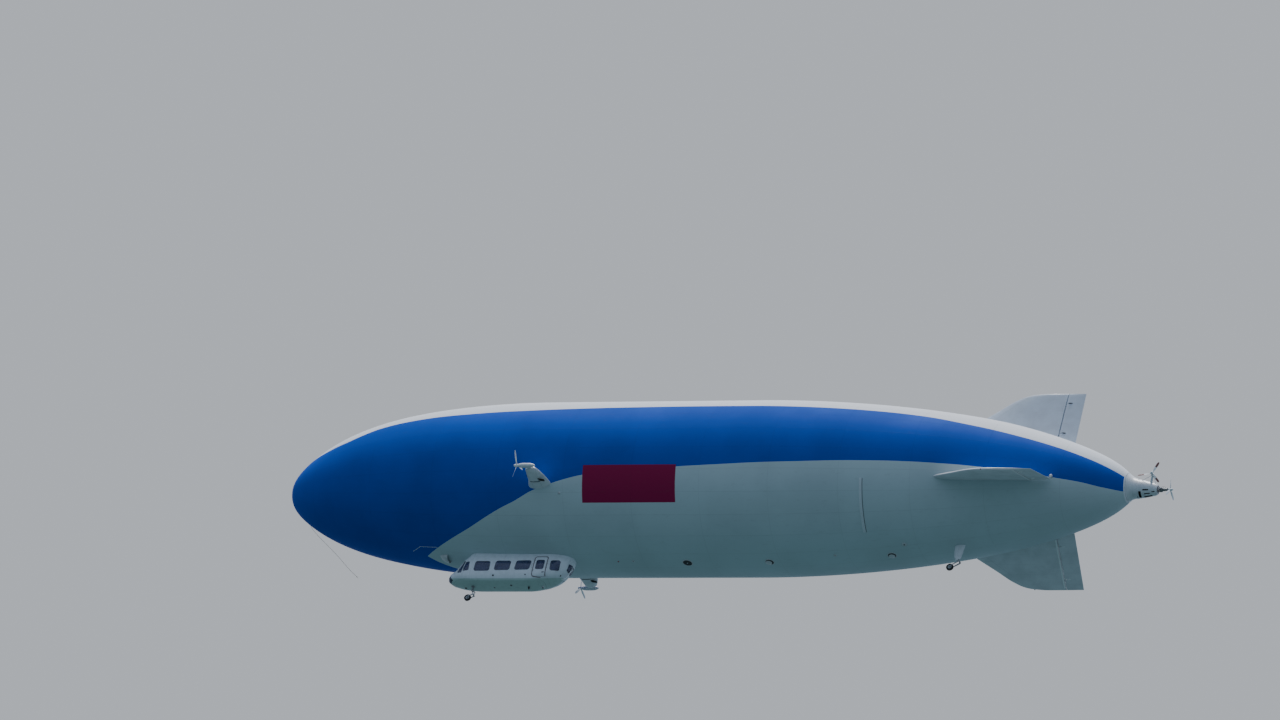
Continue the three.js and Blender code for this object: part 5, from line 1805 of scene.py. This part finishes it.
class BuildCabin(bpy.types.Operator):
    """Furnish the cabin with seats, floor and the pilots' panel"""

    bl_idname = "airship.build_cabin"
    bl_label = "Cabin"

    def execute(self, context):
        cloth = seat_cloth()
        hard_finishes = [
            metal("seat_frame", (0.42, 0.43, 0.44), 0.4),
            painted("moulded_grey", (0.07, 0.072, 0.078), rough=(0.5, 0.65), grain=0.0004),
        ]
        rows = (18.3, 19.1, 19.9, 20.7, 21.5, 22.3)
        sets = (
            ("seat_cushions_stbd", "seats_stbd", "seat_frames_stbd", rows, (0.62,)),
            ("seat_cushions_port", "seats_port", "seat_frames_port", rows, (-0.62,)),
            ("pilot_cushions", "pilot_seats", "pilot_seat_frames", (17.0,), (-0.38, 0.38)),
        )
        for pads_name, node, frames_name, xs, ys in sets:
            soft = Shape()
            hard = Shape()
            for y in ys:
                for x in xs:
                    seat(soft, hard, x, y)
            if xs is rows:
                for rail in (ys[0] - 0.16, ys[0] + 0.12):
                    hard.block((18.25, rail, SEAT_FOOT), (22.8, rail + 0.04, SEAT_FOOT + 0.022), 0.002)
            pads = place(pads_name, soft, [cloth], "seat_cloth", [node], crease=0)
            place(frames_name, hard, hard_finishes, "machined")

        def bow(y):
            """How far aft the panel stands at a side step."""
            return 0.05 * (y / PANEL_HALF) ** 2

        desk = Shape()
        rings = []
        for y in np.linspace(-PANEL_HALF, PANEL_HALF, 25):
            rings.append([(x + bow(y), y, SEAT_FOOT + z) for x, z in PANEL_SECTION])
        desk.rings(rings)
        desk.block((16.52, -0.085, SEAT_FOOT), (16.88, 0.085, SEAT_FOOT + 0.5), 0.012)
        for y in (-0.33, -0.12, 0.12, 0.33):
            x = 16.7 + bow(y)
            desk.block((x, y - 0.085, SEAT_FOOT + 0.52), (x + 0.028, y + 0.085, SEAT_FOOT + 0.7), 0.003, 1)
            for k in range(4):
                at = (x + 0.035, y - 0.06 + 0.04 * k, SEAT_FOOT + 0.485)
                desk.turned([(0, 0.004), (0.004, 0.0036)], at, (1, 0, 0.3), 10, 2)
        for y in (-0.21, 0.55):
            desk.rod((16.92, y, SEAT_FOOT + 0.3), (16.94, y, SEAT_FOOT + 0.48), 0.008, 14)
            grip = [(0, 0.009), (0.01, 0.013), (0.03, 0.011), (0.045, 0.006)]
            desk.turned(grip, (16.94, y, SEAT_FOOT + 0.46), (0, 0, 1), 16, 2)
        screen = painted("display_dark", (0.008, 0.011, 0.016), rough=(0.1, 0.16), grime=0.02, grain=0.0)
        finishes = [hard_finishes[1], screen, painted("knob_grey", (0.2, 0.2, 0.21))]
        place("pilots_panel", desk, finishes, "panel_black", ["instrument_panel"])
        dress(("cabin_floor",), carpet())
        return {"FINISHED"}


def wheel_shape(x, z, radius, half):
    """Tyre with worn grooves, rim, hub, bolts and axle about the Y direction."""
    shape = Shape()
    centre = model_point(x, 0, z)
    across = Vector((0, 1, 0))

    def scaled(rows):
        """Rows given as shares of the tyre's half width and radius, in model metres."""
        return [(a * half * SCALE, r * radius * SCALE) for a, r in rows]

    tread = []
    for q in np.linspace(-1, 1, 41):
        r = radius * (1 - 0.035 * q * q - 0.16 * max(0.0, abs(q) - 0.62) ** 1.5 / 0.38**1.5)
        groove = 0.012 if any(abs(abs(q) - g) < 0.035 for g in (0.14, 0.4)) else 0
        tread.append((half * q * SCALE, (r - groove) * SCALE))
    side = scaled([(0.97, 0.74), (0.86, 0.6), (0.74, 0.54), (0.6, 0.5)])
    loop = [(-a, r) for a, r in side[::-1]] + tread + side
    shape.turned(loop + loop[:1], centre, across, 72, 0, caps=False)
    rim = scaled([
        (0.62, 0.53), (0.7, 0.555), (0.74, 0.54), (0.6, 0.48), (0.36, 0.44),
        (0.3, 0.34), (0.34, 0.24), (0.62, 0.22), (0.64, 0.16),
    ])
    shape.turned([(-a, r) for a, r in rim[::-1]] + rim, centre, across, 56, 1)
    for way in (-1, 1):
        out = across * way
        shape.bolts(centre + out * (half * 0.31 * SCALE), out, radius * 0.34 * SCALE, 8, 0.0055, 2)
        nut = [(0, 0.02), (0.004, 0.021), (0.012, 0.018), (0.014, 0.01)]
        shape.turned(nut, centre + out * (half * 0.6 * SCALE), out, 24, 2)
    shape.rod(centre - across * 0.085, centre + across * 0.085, 0.0125, 20, 2)
    return shape


def leg_shape(knee, wheel):
    """Trailing arms with their bosses and nuts, from a knee pin to a wheel."""
    shape = Shape()
    kx, kz = knee
    wx, wz = wheel
    shape.rod((kx, -0.16, kz), (kx, 0.16, kz), 0.027, 24)
    for way in (-1, 1):
        a = model_point(kx, way * 0.16, kz)
        b = model_point(wx, way * 0.16, wz)
        up = (b - a).normalized().cross(Vector((0, 1, 0)))
        rings = []
        for q in np.linspace(-0.04, 1.03, 14):
            width = 0.019 + 0.012 * (1 - q) ** 2
            ring = []
            for t in around(16):
                c = math.copysign(abs(math.cos(t)) ** 0.7, math.cos(t))
                n = math.copysign(abs(math.sin(t)) ** 0.7, math.sin(t))
                ring.append(a + (b - a) * q + up * (width * c) + Vector((0, 0.012 * n, 0)))
            rings.append(ring)
        shape.rings(rings)
        shape.turned([(-0.012, 0.026), (-0.01, 0.028), (0.012, 0.028), (0.014, 0.025)], b, (0, way, 0), 24)
        shape.turned([(0.014, 0.014), (0.02, 0.014), (0.022, 0.011)], b, (0, way, 0), 6, 1)
        shape.turned([(0.0, 0.031), (0.008, 0.031), (0.011, 0.027)], a, (0, way, 0), 24)
        shape.turned([(0.011, 0.014), (0.018, 0.014), (0.02, 0.011)], a, (0, way, 0), 6, 1)
    return shape


# Faired rear leg: distance below the hull axis, front station, rear station, half thickness
REAR_LEG = [
    (5.2, 58.2, 59.1, 0.11), (6.4, 58.28, 59.0, 0.11), (6.75, 58.36, 58.95, 0.108),
    (6.95, 58.44, 58.87, 0.1), (7.06, 58.5, 58.81, 0.085), (7.1, 58.56, 58.76, 0.06),
]


def rear_leg_fairing():
    """Rings of the rear leg's fairing: round ahead, thin behind, closing in at its foot."""
    curves = [table_curve(REAR_LEG, k) for k in (1, 2, 3)]
    rings = []
    for h in np.concatenate([np.linspace(5.2, 6.7, 16), np.linspace(6.75, 7.1, 12)]):
        x0, x1, w = (float(curve(h)) for curve in curves)
        ring = []
        for t in around(48):
            u = 0.5 - 0.5 * math.cos(t)
            thick = w * min(1.0, (u * 4.2) ** 0.55) * min(1.0, ((1 - u) * 1.9) ** 0.8)
            ring.append((x0 + (x1 - x0) * u, thick * float(np.sign(round(math.sin(t), 6))), -h))
        rings.append(ring)
    return rings


class BuildGear(bpy.types.Operator):
    """Make the two landing gear legs and their wheels"""

    bl_idname = "airship.build_gear"
    bl_label = "Landing Gear"

    def execute(self, context):
        alloy = metal("gear_alloy", (0.4, 0.41, 0.42), 0.4, brushed=False)
        chrome = metal("oleo_chrome", (0.7, 0.71, 0.72), 0.1, grime=0.08)
        tyre = rubber("tyre_tread", (0.017, 0.017, 0.017))
        rim = painted("rim_paint", (0.5, 0.51, 0.52), coat=0.3)
        hose = rubber("brake_hose")
        down = (0, 0, -1)
        front = leg_shape((18.23, -10.37), (17.78, -10.63))
        front.turned([(0, 0.08), (0.01, 0.085), (0.016, 0.08), (0.02, 0.05)], (18.02, 0, -9.553), down)
        front.bolts((18.02, 0, -9.59), down, 0.066, 8, 0.0055, 1)
        top = model_point(18.02, 0, -9.58)
        way = model_point(18.0, 0, -9.98) - top
        n = way.length
        rows = [
            (0.0, 0.042), (0.02, 0.037), (n * 0.6, 0.0355), (n * 0.62, 0.039),
            (n * 0.72, 0.039), (n * 0.74, 0.03), (n, 0.03),
        ]
        front.turned(rows, top, way)
        a = model_point(18.0, 0, -9.92)
        way = model_point(18.23, 0, -10.37) - a
        n = way.length
        front.turned([(0, 0.028), (0.05, 0.026), (n * 0.45, 0.025), (n * 0.47, 0.018)], a, way, 28)
        front.turned([(n * 0.46, 0.0175), (n, 0.0175)], a, way, 24, 2)
        for side in (-1, 1):
            link = [(18.05, side * 0.05, -9.95), (18.3, side * 0.06, -10.1), (18.27, side * 0.05, -10.34)]
            for p, q in zip(link[:-1], link[1:]):
                front.rod(p, q, 0.0085, 12)
        front.rod((18.3, -0.07, -10.1), (18.3, 0.07, -10.1), 0.009, 14, 1)
        brake = [
            (18.06, 0.05, -9.64), (18.12, 0.09, -9.9), (18.2, 0.12, -10.15),
            (18.16, 0.15, -10.38), (17.98, 0.17, -10.5), (17.84, 0.175, -10.6),
        ]
        front.bent(brake, 24, 0.0045, 8, 3)
        place("front_gear", front, [alloy, rim, chrome, hose], "machined", ["front_gear_leg"])
        wheel_finishes = [tyre, rim, alloy]
        wheel = wheel_shape(17.78, -10.63, 0.29, 0.1)
        place("front_wheel_assembly", wheel, wheel_finishes, "tyre_rubber", ["front_wheel"], "nose_wheel")

        rear = leg_shape((58.89, -7.24), (58.18, -7.74))
        rear.rings(rear_leg_fairing(), 4)
        a = model_point(58.7, 0, -6.9)
        way = model_point(58.89, 0, -7.24) - a
        n = way.length
        rear.turned([(0, 0.03), (n * 0.6, 0.03), (n * 0.62, 0.022), (n, 0.022)], a, way, 28, 2)
        rear.turned([(0.0, 0.036), (0.03, 0.036), (0.035, 0.03)], a + way * 0.45, way, 28)
        brake = [
            (58.8, 0.06, -6.95), (58.9, 0.1, -7.1), (58.95, 0.14, -7.25),
            (58.75, 0.17, -7.42), (58.4, 0.175, -7.62),
        ]
        rear.bent(brake, 20, 0.0045, 8, 3)
        fairing = fairing_paint("gear_fairing", tuple(context.scene.airship_hull.white), (58.62,))
        place("rear_gear", rear, [alloy, rim, chrome, hose, fairing], "fairing_white", ["rear_gear_leg"])
        wheel = wheel_shape(58.18, -7.74, 0.3, 0.1)
        place("rear_wheel_assembly", wheel, wheel_finishes, "tyre_rubber", ["rear_wheel"], "tail_wheel")
        return {"FINISHED"}


def hull_point(x, degrees, lift=0.0):
    """A point on the hull at a station and an angle from the top towards port."""
    r = float(hull_radius(x)) + lift
    t = math.radians(degrees)
    return model_point(x, -r * math.sin(t), float(hull_middle(x)) + r * math.cos(t))


def hull_frame(x, degrees):
    """A point on the hull, the direction aft along it and the direction out of it."""
    t = math.radians(degrees)
    aft = (hull_point(x + 0.3, degrees) - hull_point(x - 0.3, degrees)).normalized()
    out = Vector((0, -math.sin(t), math.cos(t)))
    out = (out - aft * out.dot(aft)).normalized()
    return hull_point(x, degrees), aft, out


def dish(shape, x, degrees, r, hood=None):
    """A round valve in the hull: pale rim, dark dish with a hub, and a hood over a part of it. Where the hood
    sits off centre, the dark dish shows as a crescent beside it: painted shade of the hood.
    """
    at, aft, out = hull_frame(x, degrees)
    side = out.cross(aft)

    def part(rows, base, sides, finish=0):
        """A turned part: rows of (height over the hull, share of the valve's radius)."""
        shape.turned([(d, r * share) for d, share in rows], base, out, sides, finish)

    part([(-0.03, 1.16), (0.004, 1.16), (0.014, 1.1), (0.014, 0.98), (-0.02, 0.98)], at, 48)
    # The dark dish: painted shade where it shows as a crescent beside the hood
    part([(0.008, 0.99), (0.002, 0.8), (0.0, 0.25)], at, 48, 1)
    if hood is None:
        part([(0.0, 0.13), (0.02, 0.13), (0.03, 0.1), (0.032, 0.04)], at, 32)
    else:
        base = at + aft * (hood[0] * r) + side * (hood[1] * r)
        part([(0.0, 0.78), (0.03, 0.74), (0.05, 0.55), (0.058, 0.3), (0.06, 0.08)], base, 40)
    for t in around(12):
        base = at + aft * (r * 1.05 * math.cos(t)) + side * (r * 1.05 * math.sin(t)) + out * 0.012
        shape.turned([(-0.002, 0.006), (0.003, 0.005)], base, out, 8, 2)


def keel_scoop(shape):
    """An open air scoop on the keel ahead of the gondola, with a dark sheet across its mouth that is painted
    shade inside the scoop.
    """
    outer = []
    inner = []
    for q in np.linspace(0, 1, 13):
        at, aft, out = hull_frame(14.5 + 0.77 * q, 180)
        side = out.cross(aft)
        swell = math.sin(math.pi / 2 * q) ** 0.8
        for rings, wall in ((outer, 0.0), (inner, 0.012)):
            ring = []
            for t in arc(0, 24):
                across = 0.25 * (0.5 + 0.5 * swell) - wall
                across *= math.copysign(abs(math.cos(t)) ** 0.7, math.cos(t))
                up = -0.02 + (0.02 + 0.15 * swell - wall) * math.sin(t) ** 0.7
                ring.append(at + side * across + out * up)
            rings.append(ring)
    shape.rings(outer + inner[:5:-1])
    # Dark sheet across the mouth: painted shade inside the scoop
    front = [p + (q - p) * 0.03 for p, q in zip(inner[5], reversed(inner[5]))]
    shape.rings([front, [p + Vector((0.004, 0, 0)) for p in inner[6]]], 1)


class BuildFittings(bpy.types.Operator):
    """Add the small fittings of the hull and gondola"""

    bl_idname = "airship.build_fittings"
    bl_label = "Fittings"

    def execute(self, context):
        pale = painted("fitting_pale", (0.6, 0.61, 0.62))
        # Serves dark parts and painted shade: the valves' dark crescents, the scoop's mouth and the flank
        # strip's shadow line
        dark = painted("fitting_dark", (0.035, 0.037, 0.04), rough=(0.5, 0.7))
        steel = metal("fitting_steel", (0.42, 0.43, 0.44), 0.4)
        # The patches take the belly's colour, which is painted shade and a painted reflection of the ground
        cloth = painted("patch_cloth", darker(context.scene.airship_hull.belly, 0.9), rough=(0.5, 0.6))
        # Bright white for the tail post: white paint and a painted highlight of the sunlit line along the
        # tail
        white = painted("post_white_and_painted_highlight", (0.95, 0.95, 0.95), rough=(0.3, 0.4), grime=0.03)
        line = painted("line_pale", (0.66, 0.72, 0.75), rough=(0.5, 0.65))

        # Round valves with their hoods along the keel and ahead of the gondola, and small drains
        fittings = Shape()
        dish(fittings, 35.87, 181.6, 0.19)
        dish(fittings, 42.87, 181.2, 0.17, hood=(-0.24, -0.2))
        dish(fittings, 53.03, 182.0, 0.17, hood=(-0.1, -0.28))
        for x, degrees, r in ((54.35, 171.3, 0.1), (31.3, 179.5, 0.06), (48.5, 177, 0.06), (26.1, 128, 0.05)):
            at, _, out = hull_frame(x, degrees)
            fittings.turned([(-0.01, r * 1.4), (0.003, r * 1.4), (0.005, r * 1.3)], at, out, 40, 3)
            fittings.turned([(0.002, r), (0.014, r * 0.96), (0.024, r * 0.7), (0.028, r * 0.3)], at, out)
            fittings.turned([(0.02, r * 0.35), (0.031, r * 0.3), (0.033, r * 0.1)], at, out, 24, 1)
        cone = [(-0.02, 0.075), (0.02, 0.075), (0.07, 0.06), (0.1, 0.035), (0.108, 0.01)]
        for degrees in (112, -112):
            at, _, out = hull_frame(66.31, degrees)
            fittings.turned(cone, at, out)
        keel_scoop(fittings)
        place("keel_fittings", fittings, [pale, dark, steel, cloth], "painted_shell")

        # Raised strip over the port flank, with its clamps and a seam along its aft side painted dark as a
        # painted shadow of the strip
        strip = Shape()
        strip_x = 51.45
        half = ((0.035, 0.028), (0.055, 0.012), (0.058, -0.02))
        profile = [(-u, v) for u, v in half[::-1]] + list(half)
        rings = []
        for degrees in np.linspace(119, 158, 60):
            at, aft, out = hull_frame(strip_x, degrees)
            rings.append([at + aft * u + out * v for u, v in profile])
        strip.rings(rings)
        # The seam along the strip's aft side is dark: a painted shadow of the strip
        seam = [hull_point(strip_x + 0.15, degrees, 0.004) for degrees in np.linspace(119, 158, 48)]
        strip.tube(seam, 0.008, 8, 2)
        for degrees in np.linspace(121, 156, 12):
            at, _, out = hull_frame(strip_x, degrees)
            strip.turned([(0.02, 0.016), (0.031, 0.016), (0.034, 0.011)], at, out, 20, 1)
        place("flank_strip", strip, [line, pale, dark], "painted_shell")

        # Thin cable ahead of the gondola, with its clips
        nose = Shape()
        cable = []
        for q in np.linspace(0, 1, 26):
            x = np.interp(q, (0, 0.4, 1), (12.14, 13.0, 14.56))
            cable.append(hull_point(x, np.interp(q, (0, 0.4, 1), (176, 169.9, 168.9)), 0.01))
        nose.tube(cable, 0.009, 8, 2)
        for at in cable[1::4]:
            nose.block(at - Vector((0.012, 0.016, 0.014)), at + Vector((0.012, 0.016, 0.006)), 0.003, 1)
        place("nose_cable", nose, [dark, pale, line], "painted_shell")

        # Gondola: grab rails, drain vents, tail post, aerial and landing light. The tail post's bright white
        # is partly a painted highlight along the tail
        small = Shape()
        for way in (-1, 1):
            for x in (23.2, 24.5):
                z = -8.3
                y = cabin_y(x, z)
                ends = ((-0.002, 0.22), (0.05, 0.2), (0.05, -0.2), (-0.002, -0.22))
                small.bent([(x, way * (y + dy), z + dz) for dy, dz in ends], 16, 0.006, 10, 2)
            for x, z, r in ((19.97, -9.16, 0.04), (25.52, -8.78, 0.04), (22.75, -9.1, 0.03)):
                at = (x, way * cabin_y(x, z), z)
                out = (0, way * 0.8, -0.6)
                small.turned([(-0.006, r * 1.25), (0.002, r * 1.25), (0.004, r * 1.1)], at, out, 24)
                small.turned([(0.001, r), (0.006, r * 0.9)], at, out, 24, 1)
        down = (0, 0, -1)
        for x, y, r in ((19.85, 0.1, 0.035), (21.38, -0.2, 0.05), (17.3, 0.25, 0.05), (24.0, 0.15, 0.04)):
            at = (x, y, -9.5 if x > 18 else -9.45)
            small.turned([(-0.05, r * 1.2), (0.034, r * 1.2), (0.037, r * 1.1)], at, down, 24)
            small.turned([(0.03, r), (0.04, r * 0.9)], at, down, 24, 1)
        # The tail post's bright white is partly a painted highlight of the sunlit line along the tail
        post = ((26.08, -7.8), (26.19, -7.9), (26.06, -8.25), (25.86, -8.74), (25.62, -8.84), (25.5, -8.84))
        small.bent([(x, 0, z) for x, z in post], 30, 0.02, 14, 3)
        rings = []
        for q in np.linspace(0, 1, 8):
            width = 1 - 0.4 * q
            ring = []
            for t in around(16):
                x = 22.84 + 0.06 * q + 0.1 * width * math.cos(t)
                ring.append((x, 0.03 * width * math.sin(t), -9.52 - 0.3 * q))
            rings.append(ring)
        small.rings(rings, 1)
        light = (16.9, 0, -9.38)
        small.turned([(-0.01, 0.05), (0.012, 0.052), (0.018, 0.046)], light, (-0.35, 0, -1))
        small.turned([(0.01, 0.042), (0.014, 0.03), (0.016, 0.01)], light, (-0.35, 0, -1), finish=2)
        place("gondola_fittings", small, [pale, dark, steel, white], "painted_shell")

        # Small lamps on the fins, above the hull and below it
        lamp_look = {"rough": (0.08, 0.12), "grime": 0.03, "coat": 1.0}
        lamp = painted("lamp_clear", (0.75, 0.76, 0.78), **lamp_look)
        red = painted("lamp_red", (0.4, 0.01, 0.01), **lamp_look)
        green = painted("lamp_green", (0.01, 0.22, 0.05), **lamp_look)
        lamps = Shape()
        for side, index in (("port", 1), ("stbd", 2)):
            point = fin_place(FIN_CLOCKS[side])
            base = point(62.2, 9.1, 0)
            out = point(62.2, 9.2, 0) - point(62.2, 9.0, 0)
            lamps.turned([(-0.03, 0.028), (0.004, 0.028), (0.008, 0.022)], base, out, 24, 3)
            lamps.turned([(0.006, 0.02), (0.02, 0.019), (0.032, 0.013), (0.036, 0.004)], base, out, 24, index)
        dome = [(-0.01, 0.03), (0.004, 0.03), (0.006, 0.024), (0.02, 0.022), (0.032, 0.014), (0.036, 0.004)]
        lamps.turned(dome, hull_point(30.0, 180), down, 24, 1)
        lamps.turned(dome, hull_point(40.0, 0), (0, 0, 1), 24, 1)
        place("lamps", lamps, [lamp, red, green, steel], "painted_shell")
        return {"FINISHED"}


SETTINGS = (
    ("airship_hull", HullSettings),
    ("airship_line", LineSettings),
    ("airship_propellers", PropellerSettings),
    ("airship_gondola", GondolaSettings),
    ("airship_stage", StageSettings),
)
STEPS = (
    BuildStage,
    BuildHandlingLine,
    BuildHull,
    BuildFins,
    BuildStern,
    BuildPropellers,
    BuildNacelles,
    BuildGondola,
    BuildCabin,
    BuildGear,
    BuildFittings,
)


class AirshipPanel(bpy.types.Panel):
    """Lists the steps that build the airship, with their sizes and colours"""

    bl_idname = "VIEW3D_PT_airship"
    bl_label = "Airship"
    bl_space_type = "VIEW_3D"
    bl_region_type = "UI"
    bl_category = "Airship"

    def draw(self, context):
        for step in STEPS:
            self.layout.operator(step.bl_idname)
        for name, group in SETTINGS:
            box = self.layout.box()
            for key in group.__annotations__:
                box.prop(getattr(context.scene, name), key)


def register():
    for name, group in SETTINGS:
        bpy.utils.register_class(group)
        setattr(bpy.types.Scene, name, PointerProperty(type=group))
    for step in STEPS:
        bpy.utils.register_class(step)
    bpy.utils.register_class(AirshipPanel)


def unregister():
    bpy.utils.unregister_class(AirshipPanel)
    for step in reversed(STEPS):
        bpy.utils.unregister_class(step)
    for name, group in reversed(SETTINGS):
        delattr(bpy.types.Scene, name)
        bpy.utils.unregister_class(group)


def main():
    register()
    for step in STEPS:
        category, name = step.bl_idname.split(".")
        getattr(getattr(bpy.ops, category), name)()


if __name__ == "__main__":
    main()
